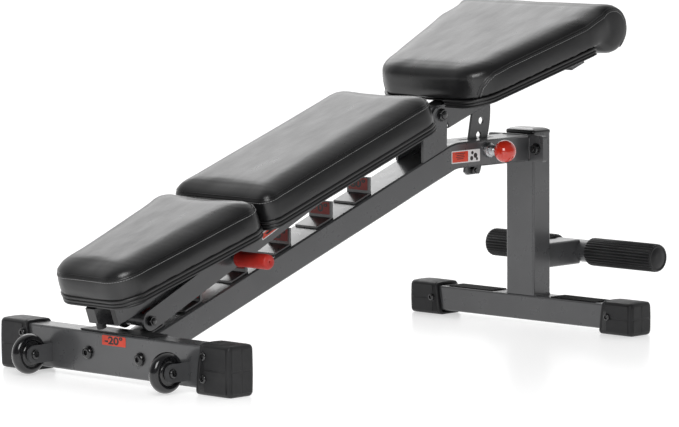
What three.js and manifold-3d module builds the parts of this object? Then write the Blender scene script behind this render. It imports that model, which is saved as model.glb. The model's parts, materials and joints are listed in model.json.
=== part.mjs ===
// Decline sit up bench: a sloping main tube between two cross feet, a hinged backrest held up by a
// strut on a ladder, a hinged seat held by a pull pin in an arc plate, and foot rollers behind.
//
// Millimetres, +Z up. +X runs from the low head end to the seat, and the bench is symmetric about
// Y = 0. All X positions are measured from the front face of the front beam, and the whole bench is
// then moved by CENTRE_X so that the origin is under the middle of its box.

import * as THREE from 'three';
import { mergeVertices } from 'three/addons/utils/BufferGeometryUtils.js';
import Module from 'manifold-3d';

const wasm = await Module();
wasm.setup();

// ---------------------------------------------------------------- driving dimensions

const CENTRE_X = 618.8;           // middle of the bench, from the front face of the beam
const GAP = 0.3;                 // left between pieces that touch
const WALL = 3;                  // wall of every frame tube
const CORNER = 4;                // outside corner radius of the frame tubes

const BEAM = { depth: 51, height: 80, bottom: 11, halfLength: 300 };
const REST_PAD = { halfWidth: 94, thickness: 3 };
const FRONT_BOOT = { inner: 239, outer: 317, front: -6, back: 57, top: 96 };
const REAR_X = 1124;             // front face of the rear post and rear foot
const REAR_FOOT = { size: 51, bottom: 10, halfLength: 290 };
const REAR_BOOT = { inner: 228, outer: 306, overhang: 6, top: 67 };
const BOOT_EDGE = 3;             // rounding of a boot's ends
const BOOT_LEAN = 13;            // how far a boot's mouth leans outwards over 100 of height
const FOOT_STRIP = { from: 80, to: 204, margin: 3, thickness: 1.5 };
const POST = { depth: 51, width: 76, top: 392 };

const MAIN = { width: 76, depth: 52, bendX: 895, centreZ: 364.5, slope: 20.3, bendRadius: 100 };
const MAIN_END_X = 1112;
const FLANGE = { thickness: 5.7, halfWidth: 75, bottom: 338, top: 391 };
const FLANGE_BOLT = { y: 56, z: 364, radius: 6, hexRadius: 10.5, head: 9, nut: [12, 21], length: 26 };
const BEAM_BOLT = { y: 71.5, z: 50, radius: 6 };
const FOOT_PLATE = { halfWidth: 90, bottom: 15, top: 87, thickness: 5 };
const SLOT = { halfWidth: 5.5, upper: [940, 1042], lower: [884, 1024] };
const BOLT_HOLE = 6.4;            // radius of the bolt holes in beam, plates and flanges

const WHEEL = { x: -45, y: 190, z: 41, radius: 38.5, width: 24 };
const FORK = { gap: 27, thickness: 4, height: 34, endRadius: 17 };

const PIVOT = { x: 852.6, z: 449, boltRadius: 8 };
const TILT = 19.5;               // slope of backrest and seat, in degrees
const HINGE_PLATE = { inner: 32, outer: 38, left: 800, leftTop: 412, topRadius: 17 };

const BACK_TUBE = { start: 24, end: 926, half: 25.4, bottom: -33, top: 15.2 };
const BACK_NECK = { half: 17, radius: 17, overlap: 12 };
const BACK_BARS = { at: [182, 502, 850], halfLength: 20, halfWidth: 85, thickness: 3 };
const BACK_PLUG_END = 962;
const BUMPER = { along: 946, bottom: -29, radius: 9 };
const BACK_PAD = { from: 92, to: 592, halfWidth: 137, cornerStart: 42, cornerEnd: 28 };
const HEAD_PAD = { from: 599, to: 960, halfStart: 137, halfEnd: 108, cornerStart: 38, cornerEnd: 55 };
const BACK_BOARD = { bottom: 18.5, top: 35.7 };
const PAD_TOP = 97;

const STRUT_PIVOT = { along: 372, up: -8 };
const STRUT_FOOT = { x: 60, z: 113.5, radius: 12 };
const STRUT_BAR = { inner: 32.5, outer: 38, half: 19 };
const GRIP = { along: 238, start: 52, end: 136, radius: 15, rodRadius: 8 };

const STEP_FACES = [101, 199, 320, 437, 552, 658];
const STEP = { height: 34, thickness: 5, base: 38, baseThickness: 4, halfWidth: 30.5 };

const SEAT_TUBE = { start: 24, end: 238, half: 25.4, bottom: -40, top: 9.2 };
const SEAT_LUG = { inner: 19.5, radius: 18, overlap: 14 };
const SEAT_STRAP = { back: 40, halfWidth: 19, thickness: 3 };
const SEAT_CROSS_PLATE = { from: 64, to: 104, halfWidth: 95 };
const SEAT_BAR = { from: 277, to: 317, halfWidth: 148, bottom: -14 };
const SEAT_BOARD = { from: 7, to: 300, bottom: 12.5, top: 29.7, corner: 58 };
const SEAT_NOTCH = { to: 36, halfWidth: 45 };   // clears the hinge and the raised backrest
const SEAT_PAD = { from: 10.5, roll: 20 };
const SEAT_HALF = { atPivot: 139, flare: 0.2338, most: 207 };
const SEAT_TOP = 92;
const SEAT_ROLL = { along: 363, up: 41, radius: 50 };
const ARC = { inner: 130, outer: 181, holeCircle: 155.5, holeRadius: 7.5, half: 2.5, turn: -44 };
const ARC_FOOT = [[102.6, -165.7], [96, -172], [63, -160.5], [57.3, -152]];
const STOP_BOLT = { circle: 177.5, angle: -62.5 };
const PIN_SLEEVE = 10;
const PIN = { angle: -30.5, pitch: 11, radius: 6, tip: -3.1, knobRadius: 22.5, knobY: -86 };

const BRACKET = { halfWidth: 25, bottom: 112.5, top: 163, end: 1280 };
const ROLLER = { x: 1292, z: 138.5, radius: 29, inner: 49, outer: 229, axle: 12 };
const CROSS_TUBE = { radius: 23, halfLength: 46 };   // carries the axle across the bracket's end

// ---------------------------------------------------------------- finishes

const finish = (color, roughness, metalness) => ({ color, roughness, metalness });
const FRAME_GREY = finish(0x5a5b5d, 0.35, 0.55);
const BLACK_STEEL = finish(0x101113, 0.3, 0.7);
const ZINC = finish(0xa9abad, 0.3, 0.9);
const RUBBER = finish(0x2c2d2e, 0.7, 0);
const BLACK_PLASTIC = finish(0x121314, 0.35, 0);
const VINYL = finish(0x1c1d1f, 0.4, 0);
const BOARD = finish(0x17181a, 0.6, 0);
const RED_PLASTIC = finish(0xc8281a, 0.25, 0);
const RED_RUBBER = finish(0xb0261b, 0.55, 0);

// ---------------------------------------------------------------- solids

const toRadians = THREE.MathUtils.degToRad;

function toManifold(geometry) {
  const bare = geometry.clone();
  bare.deleteAttribute('normal');
  bare.deleteAttribute('uv');
  const merged = mergeVertices(bare, 1e-4);
  const vertProperties = new Float32Array(merged.attributes.position.array);
  const triVerts = new Uint32Array(merged.index.array);
  return new wasm.Manifold(new wasm.Mesh({ numProp: 3, vertProperties, triVerts }));
}

function toGeometry(manifold) {
  const mesh = manifold.getMesh();
  const geometry = new THREE.BufferGeometry();
  geometry.setAttribute('position', new THREE.BufferAttribute(mesh.vertProperties, 3));
  geometry.setIndex(new THREE.BufferAttribute(mesh.triVerts, 1));
  return geometry;
}

function join(first, ...others) {
  return toGeometry(others.reduce((sum, g) => sum.add(toManifold(g)), toManifold(first)));
}

function cut(first, ...tools) {
  return toGeometry(tools.reduce((rest, g) => rest.subtract(toManifold(g)), toManifold(first)));
}

function common(first, second) {
  return toGeometry(toManifold(first).intersect(toManifold(second)));
}

// ---------------------------------------------------------------- outlines

function polygon(points) {
  return new THREE.Shape(points.map(([x, y]) => new THREE.Vector2(x, y)));
}

// Rectangle from (x0, y0) to (x1, y1) with round corners.
function roundedRect(x0, y0, x1, y1, radius, Kind = THREE.Shape) {
  const outline = new Kind();
  const quarter = Math.PI / 2;
  outline.moveTo(x0 + radius, y0);
  outline.lineTo(x1 - radius, y0);
  outline.absarc(x1 - radius, y0 + radius, radius, -quarter, 0);
  outline.lineTo(x1, y1 - radius);
  outline.absarc(x1 - radius, y1 - radius, radius, 0, quarter);
  outline.lineTo(x0 + radius, y1);
  outline.absarc(x0 + radius, y1 - radius, radius, quarter, 2 * quarter);
  outline.lineTo(x0, y0 + radius);
  outline.absarc(x0 + radius, y0 + radius, radius, 2 * quarter, 3 * quarter);
  return outline;
}

// Section of a rectangular tube.
function tubeSection(x0, y0, x1, y1) {
  const outline = roundedRect(x0, y0, x1, y1, CORNER);
  const inside = roundedRect(x0 + WALL, y0 + WALL, x1 - WALL, y1 - WALL, CORNER - WALL + 0.5, THREE.Path);
  outline.holes.push(inside);
  return outline;
}

function circle(x, y, radius, Kind = THREE.Shape) {
  const outline = new Kind();
  outline.absarc(x, y, radius, 0, 2 * Math.PI);
  return outline;
}

// ---------------------------------------------------------------- extrusions and turned pieces

// Outline drawn in X and Z, extruded from y0 to y1, with its long edges rounded by bevel.
function alongY(outline, y0, y1, bevel = 0, curveSegments = 6) {
  const geometry = new THREE.ExtrudeGeometry(outline, {
    depth: y1 - y0 - 2 * bevel,
    bevelEnabled: bevel > 0,
    bevelThickness: bevel,
    bevelSize: bevel,
    bevelOffset: -bevel,
    bevelSegments: 1,
    curveSegments,
  });
  geometry.rotateX(Math.PI / 2);
  return geometry.translate(0, y1 - bevel, 0);
}

// Outline drawn in Y and Z, extruded from x0 to x1.
function alongX(outline, x0, x1, curveSegments = 3) {
  const geometry = new THREE.ExtrudeGeometry(outline, { depth: x1 - x0, bevelEnabled: false, curveSegments });
  const axes = [new THREE.Vector3(0, 1, 0), new THREE.Vector3(0, 0, 1), new THREE.Vector3(1, 0, 0)];
  geometry.applyMatrix4(new THREE.Matrix4().makeBasis(...axes));
  return geometry.translate(x0, 0, 0);
}

// Outline drawn in X and Y, extruded from z0 to z1.
function alongZ(outline, z0, z1, curveSegments = 3) {
  const geometry = new THREE.ExtrudeGeometry(outline, { depth: z1 - z0, bevelEnabled: false, curveSegments });
  return geometry.translate(0, 0, z0);
}

function block(x0, x1, y0, y1, z0, z1) {
  const geometry = new THREE.BoxGeometry(x1 - x0, y1 - y0, z1 - z0);
  return geometry.translate((x0 + x1) / 2, (y0 + y1) / 2, (z0 + z1) / 2);
}

function rodY(x, z, radius, y0, y1, sides = 24) {
  const geometry = new THREE.CylinderGeometry(radius, radius, y1 - y0, sides);
  return geometry.translate(x, (y0 + y1) / 2, z);
}

function rodX(y, z, radius, x0, x1, sides = 24) {
  const geometry = new THREE.CylinderGeometry(radius, radius, x1 - x0, sides);
  return geometry.rotateZ(-Math.PI / 2).translate((x0 + x1) / 2, y, z);
}

// Profile of [radius, y] points turned about the Y axis.
function turned(profile, segments = 32) {
  return new THREE.LatheGeometry(profile.map(([r, y]) => new THREE.Vector2(r, y)), segments);
}

// Dome-headed bolt along Y: the head's underside is at y = 0 and faces the shank's side, -Y.
function domeBolt(shankRadius, headRadius, headHeight, length, nutRadius, nutFrom) {
  const dome = [];
  for (let step = 0; step <= 3; step += 1) {
    const angle = (step / 3) * (Math.PI / 2);
    dome.push([headRadius * Math.cos(angle), headHeight * (0.35 + 0.65 * Math.sin(angle))]);
  }
  dome[3][0] = 0;
  const profile = [[0, -length], [shankRadius, -length], [shankRadius, 0], [headRadius, 0], ...dome];
  const bolt = turned(profile, 20);
  if (!nutRadius) return bolt;
  return join(bolt, rodY(0, 0, nutRadius, nutFrom - nutRadius * 0.9, nutFrom, 6));
}

// ---------------------------------------------------------------- scene helpers

function piece(name, geometry, look) {
  const mesh = new THREE.Mesh(geometry, new THREE.MeshStandardMaterial(look));
  mesh.name = name;
  return mesh;
}

const SIDES = [['left', 1], ['right', -1]];

// ---------------------------------------------------------------- front beam, boots and wheels

const beamTop = BEAM.bottom + BEAM.height;

function frontBeam() {
  const section = tubeSection(0, BEAM.bottom, BEAM.depth, beamTop);
  const tube = alongY(section, -BEAM.halfLength, BEAM.halfLength, 0, 3);
  const holes = SIDES.map(([, side]) => rodX(side * BEAM_BOLT.y, BEAM_BOLT.z, BOLT_HOLE, -5, 60));
  return piece('front_beam', cut(tube, ...holes), FRAME_GREY);
}

function restPad() {
  const outline = roundedRect(1, beamTop + GAP, BEAM.depth - 1, beamTop + GAP + REST_PAD.thickness, 1);
  return piece('beam_rest_pad', alongY(outline, -REST_PAD.halfWidth, REST_PAD.halfWidth), RUBBER);
}

function beamBolt(name, side) {
  const bolt = domeBolt(BEAM_BOLT.radius, 13, 7, 62, 9.5, -57.2);
  bolt.rotateZ(Math.PI / 2).translate(-GAP, side * BEAM_BOLT.y, BEAM_BOLT.z);
  return piece(name, bolt, BLACK_STEEL);
}

// A boot is a cup pushed over the end of a cross tube: skin and socket are outlines in X and Z, and
// its mouth leans outwards towards the top.
function boot(name, side, skin, socket, inner, outer, tubeEnd) {
  const lip = inner - BOOT_LEAN;
  const shell = alongY(skin, lip, outer, BOOT_EDGE, 3);
  const cup = cut(shell, alongY(socket, lip - 10, tubeEnd + GAP, 0, 2));
  const wedge = polygon([[lip - 20, -1], [lip, -1], [inner, 100], [lip - 20, 100]]);
  const shaped = cut(cup, alongX(wedge, -100, REAR_X + 100));
  if (side > 0) return piece(name, shaped, RUBBER);
  return piece(name, toGeometry(toManifold(shaped).mirror([0, 1, 0])), RUBBER);
}

function frontBoot(name, side) {
  const { inner, outer, front, back, top } = FRONT_BOOT;
  const skin = roundedRect(front, 0, back, top, 9);
  const socket = roundedRect(-GAP, BEAM.bottom - GAP, BEAM.depth + GAP, beamTop + GAP, 3);
  return boot(name, side, skin, socket, inner, outer, BEAM.halfLength);
}

function wheelFork(name, side) {
  const { gap, thickness, height, endRadius } = FORK;
  const plate = new THREE.Shape();
  plate.moveTo(-GAP, WHEEL.z + height / 2);
  plate.lineTo(WHEEL.x, WHEEL.z + endRadius);
  plate.absarc(WHEEL.x, WHEEL.z, endRadius, Math.PI / 2, (3 * Math.PI) / 2);
  plate.lineTo(-GAP, WHEEL.z - height / 2);
  const centre = side * WHEEL.y;
  const cheeks = [-1, 1].map((way) => {
    const from = centre + (way * gap) / 2 + (way < 0 ? -thickness : 0);
    return alongY(plate, from, from + thickness, 0, 8);
  });
  const half = gap / 2 + 1;
  const [low, high] = [WHEEL.z - height / 2, WHEEL.z + height / 2];
  const bridge = block(-3 - GAP, -GAP, centre - half, centre + half, low, high);
  const bore = rodY(WHEEL.x, WHEEL.z, 5.2, centre - 40, centre + 40);
  return piece(name, cut(join(bridge, ...cheeks), bore), FRAME_GREY);
}

function wheelAxle(name, side) {
  const outside = FORK.gap / 2 + FORK.thickness + GAP;
  const bolt = domeBolt(4.9, 8.5, 4, 2 * outside + 8, 8, -2 * outside);
  bolt.rotateZ(Math.PI).translate(WHEEL.x, side * WHEEL.y - outside, WHEEL.z);
  return piece(name, bolt, BLACK_STEEL);
}

function wheel(name, side) {
  const half = WHEEL.width / 2;
  const tread = [];
  for (let step = 0; step <= 4; step += 1) {
    const angle = -Math.PI / 2 + (step / 4) * Math.PI;
    tread.push([WHEEL.radius - 8 + 8 * Math.cos(angle), (half - 0.5) * Math.sin(angle)]);
  }
  const [hub, bore] = [14, 5.1];
  const sides = [[hub, half - 0.5], [hub, half + 1], [bore, half + 1], [bore, -half - 1], [hub, -half - 1],
    [hub, -half + 0.5]];
  const profile = [...tread, ...sides, tread[0]];
  const body = turned(profile, 28).translate(WHEEL.x, side * WHEEL.y, WHEEL.z);
  return piece(name, body, BLACK_PLASTIC);
}

// ---------------------------------------------------------------- main tube and ladder

const slopeTan = Math.tan(toRadians(MAIN.slope));

// Height of the main tube's centre line at x, on the sloping stretch.
function centreLine(x) {
  return MAIN.centreZ + (x - MAIN.bendX) * slopeTan;
}

// Height of the main tube's upper face at x, on the sloping stretch.
function tubeTop(x) {
  return centreLine(x) + MAIN.depth / 2 / Math.cos(toRadians(MAIN.slope));
}

// Side outline of the main tube, half of its depth either side of the bent centre line.
function mainOutline(x0, x1, half) {
  const tangent = MAIN.bendRadius * Math.tan(toRadians(MAIN.slope / 2));
  const centre = { x: MAIN.bendX + tangent, z: MAIN.centreZ - MAIN.bendRadius };
  const start = Math.PI / 2 + toRadians(MAIN.slope);
  const rise = half / Math.cos(toRadians(MAIN.slope));
  const outline = new THREE.Shape();
  outline.moveTo(x0, centreLine(x0) + rise);
  outline.lineTo(x0, centreLine(x0) - rise);
  outline.absarc(centre.x, centre.z, MAIN.bendRadius - half, start, Math.PI / 2, true);
  outline.lineTo(x1, MAIN.centreZ - half);
  outline.lineTo(x1, MAIN.centreZ + half);
  outline.absarc(centre.x, centre.z, MAIN.bendRadius + half, Math.PI / 2, start, false);
  return outline;
}

function mainTube() {
  const start = BEAM.depth + GAP;
  const half = MAIN.width / 2;
  const { thickness, halfWidth, bottom, top } = FOOT_PLATE;
  const outside = mainOutline(start + thickness / 2, MAIN_END_X - GAP, MAIN.depth / 2);
  const skin = alongY(outside, -half, half, 3, 5);
  const hollow = mainOutline(start + thickness, MAIN_END_X + 9, MAIN.depth / 2 - WALL);
  const bore = alongY(hollow, WALL - half, half - WALL, 0, 5);
  const footPlate = alongX(roundedRect(-halfWidth, bottom, halfWidth, top, 6), start, start + thickness);
  const boltHoles = SIDES.map(([, side]) => (
    rodX(side * BEAM_BOLT.y, BEAM_BOLT.z, BOLT_HOLE, start - 5, start + 10)
  ));
  const { halfWidth: slotHalf, upper, lower } = SLOT;
  const slots = [
    block(...upper, -slotHalf, slotHalf, MAIN.centreZ, MAIN.centreZ + MAIN.depth),
    block(...lower, -slotHalf, slotHalf, MAIN.centreZ - MAIN.depth, MAIN.centreZ),
  ];
  const pin = pinPlace();
  const pinHole = rodY(pin.x, pin.z, PIN_SLEEVE + 0.4, -half - 5, -half + 10);
  const body = join(cut(skin, bore), footPlate);
  return piece('main_tube', cut(body, ...boltHoles, ...slots, pinHole), FRAME_GREY);
}

function ladderStep(number, face) {
  const { height, thickness, base, baseThickness, halfWidth } = STEP;
  const foot = (x) => tubeTop(x) + GAP;
  const back = face - thickness;
  const outline = polygon([
    [face, foot(face)],
    [face, foot(face) + height],
    [back, foot(face) + height],
    [back, foot(back) + baseThickness],
    [back - base, foot(back - base) + baseThickness],
    [back - base, foot(back - base)],
  ]);
  return piece(`ladder_step_${number}`, alongY(outline, -halfWidth, halfWidth), FRAME_GREY);
}

// Cheek that carries the hinge bolt, standing on the main tube.
function hingePlate(name, side) {
  const { inner, outer, left, leftTop, topRadius } = HINGE_PLATE;
  const right = PIVOT.x + topRadius - 2;
  const outline = new THREE.Shape();
  outline.moveTo(left, tubeTop(left) + GAP);
  outline.lineTo(left, leftTop);
  outline.absarc(PIVOT.x, PIVOT.z, topRadius, toRadians(140), toRadians(-8), true);
  outline.lineTo(right, tubeTop(right) + GAP);
  const y = side > 0 ? [inner, outer] : [-outer, -inner];
  const bore = rodY(PIVOT.x, PIVOT.z, PIVOT.boltRadius + 0.3, -60, 60);
  return piece(name, cut(alongY(outline, y[0], y[1], 0, 10), bore), FRAME_GREY);
}

function hingeBolt() {
  const under = HINGE_PLATE.outer + GAP;
  const bolt = domeBolt(PIVOT.boltRadius, 14, 6, 2 * under + 14, 13, -2 * under);
  bolt.rotateZ(Math.PI).translate(PIVOT.x, -under, PIVOT.z);
  return piece('hinge_bolt', bolt, BLACK_STEEL);
}

// ---------------------------------------------------------------- rear post, foot and rollers

function rearPost() {
  const half = POST.width / 2;
  const section = tubeSection(REAR_X, -half, REAR_X + POST.depth, half);
  return piece('rear_post', alongZ(section, REAR_FOOT.bottom + REAR_FOOT.size + GAP, POST.top), FRAME_GREY);
}

function postCap() {
  const half = POST.width / 2;
  const flat = alongZ(roundedRect(REAR_X - 1, -half - 1, REAR_X + POST.depth + 1, half + 1, 4),
    POST.top + GAP, POST.top + 6);
  const crown = alongZ(roundedRect(REAR_X + 2, -half + 2, REAR_X + POST.depth - 2, half - 2, 9),
    POST.top + 5, POST.top + 9);
  const peak = alongZ(roundedRect(REAR_X + 8, -half + 8, REAR_X + POST.depth - 8, half - 8, 12),
    POST.top + 8, POST.top + 12);
  return piece('post_cap', join(flat, crown, peak), BLACK_PLASTIC);
}

function rearFoot() {
  const { size, bottom, halfLength } = REAR_FOOT;
  const section = tubeSection(REAR_X, bottom, REAR_X + size, bottom + size);
  return piece('rear_foot', alongY(section, -halfLength, halfLength, 0, 3), FRAME_GREY);
}

// Thin grip strip on top of the rear foot, one on each side of the post.
function footStrip(name, side) {
  const { from, to, margin, thickness } = FOOT_STRIP;
  const [y0, y1] = side > 0 ? [from, to] : [-to, -from];
  const outline = roundedRect(REAR_X + margin, y0, REAR_X + REAR_FOOT.size - margin, y1, 3);
  const under = REAR_FOOT.bottom + REAR_FOOT.size + GAP;
  return piece(name, alongZ(outline, under, under + thickness), RUBBER);
}

function rearBoot(name, side) {
  const { inner, outer, overhang, top } = REAR_BOOT;
  const { size, bottom, halfLength } = REAR_FOOT;
  const skin = roundedRect(REAR_X - overhang, 0, REAR_X + size + overhang, top, 8);
  const socket = roundedRect(REAR_X - GAP, bottom - GAP, REAR_X + size + GAP, bottom + size + GAP, 3);
  return boot(name, side, skin, socket, inner, outer, halfLength);
}

function flangePlate(name, x) {
  const { thickness, halfWidth, bottom, top } = FLANGE;
  const plate = alongX(roundedRect(-halfWidth, bottom, halfWidth, top, 5), x, x + thickness);
  const holes = SIDES.map(([, side]) => rodX(side * FLANGE_BOLT.y, FLANGE_BOLT.z, BOLT_HOLE, x - 5, x + 15));
  return piece(name, cut(plate, ...holes), FRAME_GREY);
}

function flangeBolt(name, side) {
  const { y, z, radius, hexRadius, head, nut, length } = FLANGE_BOLT;
  const shank = rodX(0, 0, radius, -head, length);
  const hexHead = rodX(0, 0, hexRadius, -head, 0, 6);
  const hexNut = rodX(0, 0, hexRadius, nut[0], nut[1], 6);
  const bolt = join(shank, hexHead, hexNut);
  bolt.translate(MAIN_END_X - GAP, side * y, z);
  return piece(name, bolt, BLACK_STEEL);
}

function footBracket() {
  const { halfWidth, bottom, top, end } = BRACKET;
  const tube = alongX(tubeSection(-halfWidth, bottom, halfWidth, top), REAR_X + POST.depth + GAP, end);
  const saddle = rodY(ROLLER.x, ROLLER.z, CROSS_TUBE.radius + GAP, -60, 60, 40);
  return piece('foot_bracket', cut(tube, saddle), FRAME_GREY);
}

function rollerAxle() {
  const end = ROLLER.outer - 4;
  const rod = rodY(ROLLER.x, ROLLER.z, ROLLER.axle, -end, end);
  const { radius, halfLength } = CROSS_TUBE;
  const crossTube = rodY(ROLLER.x, ROLLER.z, radius, -halfLength, halfLength, 40);
  return piece('roller_axle', join(rod, crossTube), FRAME_GREY);
}

// Roller sleeve with its end disc; the axle's hole is blind.
function footRoller(name, side) {
  const { radius, inner, outer, axle } = ROLLER;
  const profile = [
    [axle + 1, inner], [radius - 1.5, inner], [radius, inner + 2], [radius, outer - 4],
    [radius - 3, outer], [0, outer], [0, outer - 3], [axle + 1, outer - 3], [axle + 1, inner],
  ];
  const sleeve = turned(profile, 32);
  if (side < 0) sleeve.rotateX(Math.PI);
  return piece(name, sleeve.translate(ROLLER.x, 0, ROLLER.z), RUBBER);
}

// ---------------------------------------------------------------- pull pin

function pinPlace() {
  const angle = toRadians(PIN.angle);
  return {
    x: PIVOT.x + ARC.holeCircle * Math.cos(angle),
    z: PIVOT.z + ARC.holeCircle * Math.sin(angle),
  };
}

function pinBarrel() {
  const { x, z } = pinPlace();
  const wall = MAIN.width / 2;
  const nut = rodY(x, z, 15, -wall - 11, -wall - GAP, 6);
  const sleeve = rodY(x, z, PIN_SLEEVE, -wall - 24, -wall + WALL);
  const bore = rodY(x, z, PIN.radius + 0.4, -90, 0);
  return piece('pin_barrel', cut(join(nut, sleeve), bore), ZINC);
}

function pinSpring() {
  const { x, z } = pinPlace();
  const turns = 4;
  const from = -MAIN.width / 2 + WALL + 1.6;
  const points = [];
  for (let step = 0; step <= turns * 12; step += 1) {
    const angle = (step / 12) * 2 * Math.PI;
    points.push(new THREE.Vector3(8.3 * Math.cos(angle), (step / 12) * 5.2, 8.3 * Math.sin(angle)));
  }
  const coil = new THREE.ExtrudeGeometry(circle(0, 0, 1.1), {
    extrudePath: new THREE.CatmullRomCurve3(points),
    steps: turns * 10,
    curveSegments: 3,
    bevelEnabled: false,
  });
  return piece('pin_spring', coil.translate(x, from, z), ZINC);
}

function pullPin() {
  const { x, z } = pinPlace();
  const taper = turned([[0, PIN.tip], [4, PIN.tip], [PIN.radius, PIN.tip - 3], [PIN.radius, PIN.knobY + 24],
    [0, PIN.knobY + 24]].reverse(), 24);
  const stub = rodY(0, 0, 5, PIN.knobY + 4, PIN.knobY + 26, 24);
  return piece('pull_pin', join(taper, stub).translate(x, 0, z), ZINC);
}

function pinKnob() {
  const { x, z } = pinPlace();
  const ball = new THREE.SphereGeometry(PIN.knobRadius, 20, 12).translate(0, PIN.knobY, 0);
  const socket = rodY(0, 0, 5 + GAP, PIN.knobY + 4 - GAP, PIN.knobY + 60, 24);
  const face = block(-30, 30, PIN.knobY + 21, PIN.knobY + 40, -30, 30);
  return piece('pin_knob', cut(ball, socket, face).translate(x, 0, z), RED_PLASTIC);
}

// ---------------------------------------------------------------- backrest, in the tilted frame
// In this frame X = 0 and Z = 0 are at the hinge, the head end is at -X, and Z is square to the pads.

function lug(outline, y0, y1) {
  return cut(alongY(outline, y0, y1, 0, 8), rodY(0, 0, PIVOT.boltRadius + 0.3, y0 - 5, y1 + 5));
}

// Rounded tongue that reaches from x to the hinge.
function tongue(x, low, high, radius) {
  const outline = new THREE.Shape();
  const right = x < 0;
  if (right) {
    outline.moveTo(x, low);
    outline.lineTo(0, -radius);
    outline.absarc(0, 0, radius, -Math.PI / 2, Math.PI / 2, false);
    outline.lineTo(x, high);
  } else {
    outline.moveTo(x, high);
    outline.lineTo(0, radius);
    outline.absarc(0, 0, radius, Math.PI / 2, (3 * Math.PI) / 2, false);
    outline.lineTo(x, low);
  }
  return outline;
}

function backrestTube() {
  const { start, end, half, bottom, top } = BACK_TUBE;
  const tube = alongX(tubeSection(-half, bottom, half, top), -end, -start);
  const neckEnd = -start - BACK_NECK.overlap;
  const neck = lug(tongue(neckEnd, bottom + 8, top - 4, BACK_NECK.radius), -BACK_NECK.half, BACK_NECK.half);
  const { halfLength, halfWidth, thickness } = BACK_BARS;
  const bars = BACK_BARS.at.map((along) => (
    block(-along - halfLength, -along + halfLength, -halfWidth, halfWidth, top - 4, top + thickness)
  ));
  const pivotHole = rodY(-STRUT_PIVOT.along, STRUT_PIVOT.up, 7.4, -60, 60);
  return piece('backrest_tube', cut(join(tube, neck, ...bars), pivotHole), FRAME_GREY);
}

// Side outline of the plug on the head end, chamfered underneath, moved down by drop.
function plugSide(drop) {
  const { end, bottom, top } = BACK_TUBE;
  const from = -end - GAP;
  const to = -BACK_PLUG_END;
  return polygon([
    [from, bottom + 3 - drop],
    [from, top + 2],
    [to, top + 2],
    [to, -12 - drop],
  ]);
}

function backrestPlug() {
  const { end, half, bottom, top } = BACK_TUBE;
  const body = alongY(plugSide(0), -half, half);
  const corners = SIDES.map(([, way]) => {
    const tip = -BACK_PLUG_END - 1;
    const wedge = polygon([[tip, way * (half - 14)], [-end - 8, way * (half + 1)], [tip, way * (half + 1)]]);
    return alongZ(wedge, bottom - 10, top + 10);
  });
  return piece('backrest_plug', cut(body, ...corners), BLACK_PLASTIC);
}

// Rubber foot under the plug's chamfer.
function backrestBumper() {
  const post = new THREE.CylinderGeometry(BUMPER.radius, BUMPER.radius, 30, 20).rotateX(Math.PI / 2);
  post.translate(-BUMPER.along, 0, BUMPER.bottom + 15);
  return piece('backrest_bumper', cut(post, alongY(plugSide(GAP), -40, 40)), RUBBER);
}

// Outline of a pad seen from above, in X and Y, from its end by the hinge to its head end.
function padPlan({ from, to, halfStart, halfEnd, cornerStart, cornerEnd }) {
  const outline = new THREE.Shape();
  const [x0, x1] = [cornerEnd - to, -from - cornerStart];
  const [y0, y1] = [halfEnd - cornerEnd, halfStart - cornerStart];
  const quarter = Math.PI / 2;
  outline.moveTo(-to, y0);
  outline.lineTo(-to, -y0);
  outline.absarc(x0, -y0, cornerEnd, 2 * quarter, 3 * quarter);
  outline.absarc(x1, -y1, cornerStart, -quarter, 0);
  outline.absarc(x1, y1, cornerStart, 0, quarter);
  outline.absarc(x0, y0, cornerEnd, quarter, 2 * quarter);
  return outline;
}

// Layers of one pad outline, from the widest at the bottom to a smaller one at the top.
function padBody(plan, low, high) {
  const edge = 14;
  const geometry = new THREE.ExtrudeGeometry(plan, {
    depth: high - low - edge,
    bevelEnabled: true,
    bevelThickness: edge,
    bevelSize: edge,
    bevelOffset: -edge,
    bevelSegments: 2,
    curveSegments: 4,
  });
  return cut(geometry.translate(0, 0, low), block(-2000, 2000, -500, 500, low - 50, low));
}

function backPads() {
  const { halfWidth } = BACK_PAD;
  const back = padPlan({ ...BACK_PAD, halfStart: halfWidth, halfEnd: halfWidth });
  const head = padPlan(HEAD_PAD);
  const low = BACK_BOARD.top + GAP;
  return [
    piece('back_board', alongZ(back, BACK_BOARD.bottom, BACK_BOARD.top, 6), BOARD),
    piece('head_board', alongZ(head, BACK_BOARD.bottom, BACK_BOARD.top, 6), BOARD),
    piece('back_pad', padBody(back, low, PAD_TOP), VINYL),
    piece('head_pad', padBody(head, low, PAD_TOP - 1), VINYL),
  ];
}

function strutPivot() {
  const under = STRUT_BAR.outer + GAP;
  const bolt = domeBolt(7, 12, 5, 2 * under + 9, 11, -2 * under);
  bolt.rotateZ(Math.PI).translate(-STRUT_PIVOT.along, -under, STRUT_PIVOT.up);
  return piece('strut_pivot_bolt', bolt, BLACK_STEEL);
}

// ---------------------------------------------------------------- strut
// Its frame has the pivot at the origin and the foot at -X.

const tilt = toRadians(TILT);
const strutPivot3 = {
  x: PIVOT.x - STRUT_PIVOT.along * Math.cos(tilt) - STRUT_PIVOT.up * Math.sin(tilt),
  z: PIVOT.z - STRUT_PIVOT.along * Math.sin(tilt) + STRUT_PIVOT.up * Math.cos(tilt),
};
const strutRun = { x: strutPivot3.x - STRUT_FOOT.x, z: strutPivot3.z - STRUT_FOOT.z };
const strutLength = Math.hypot(strutRun.x, strutRun.z);
const strutSlope = Math.atan2(strutRun.z, strutRun.x);

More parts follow.
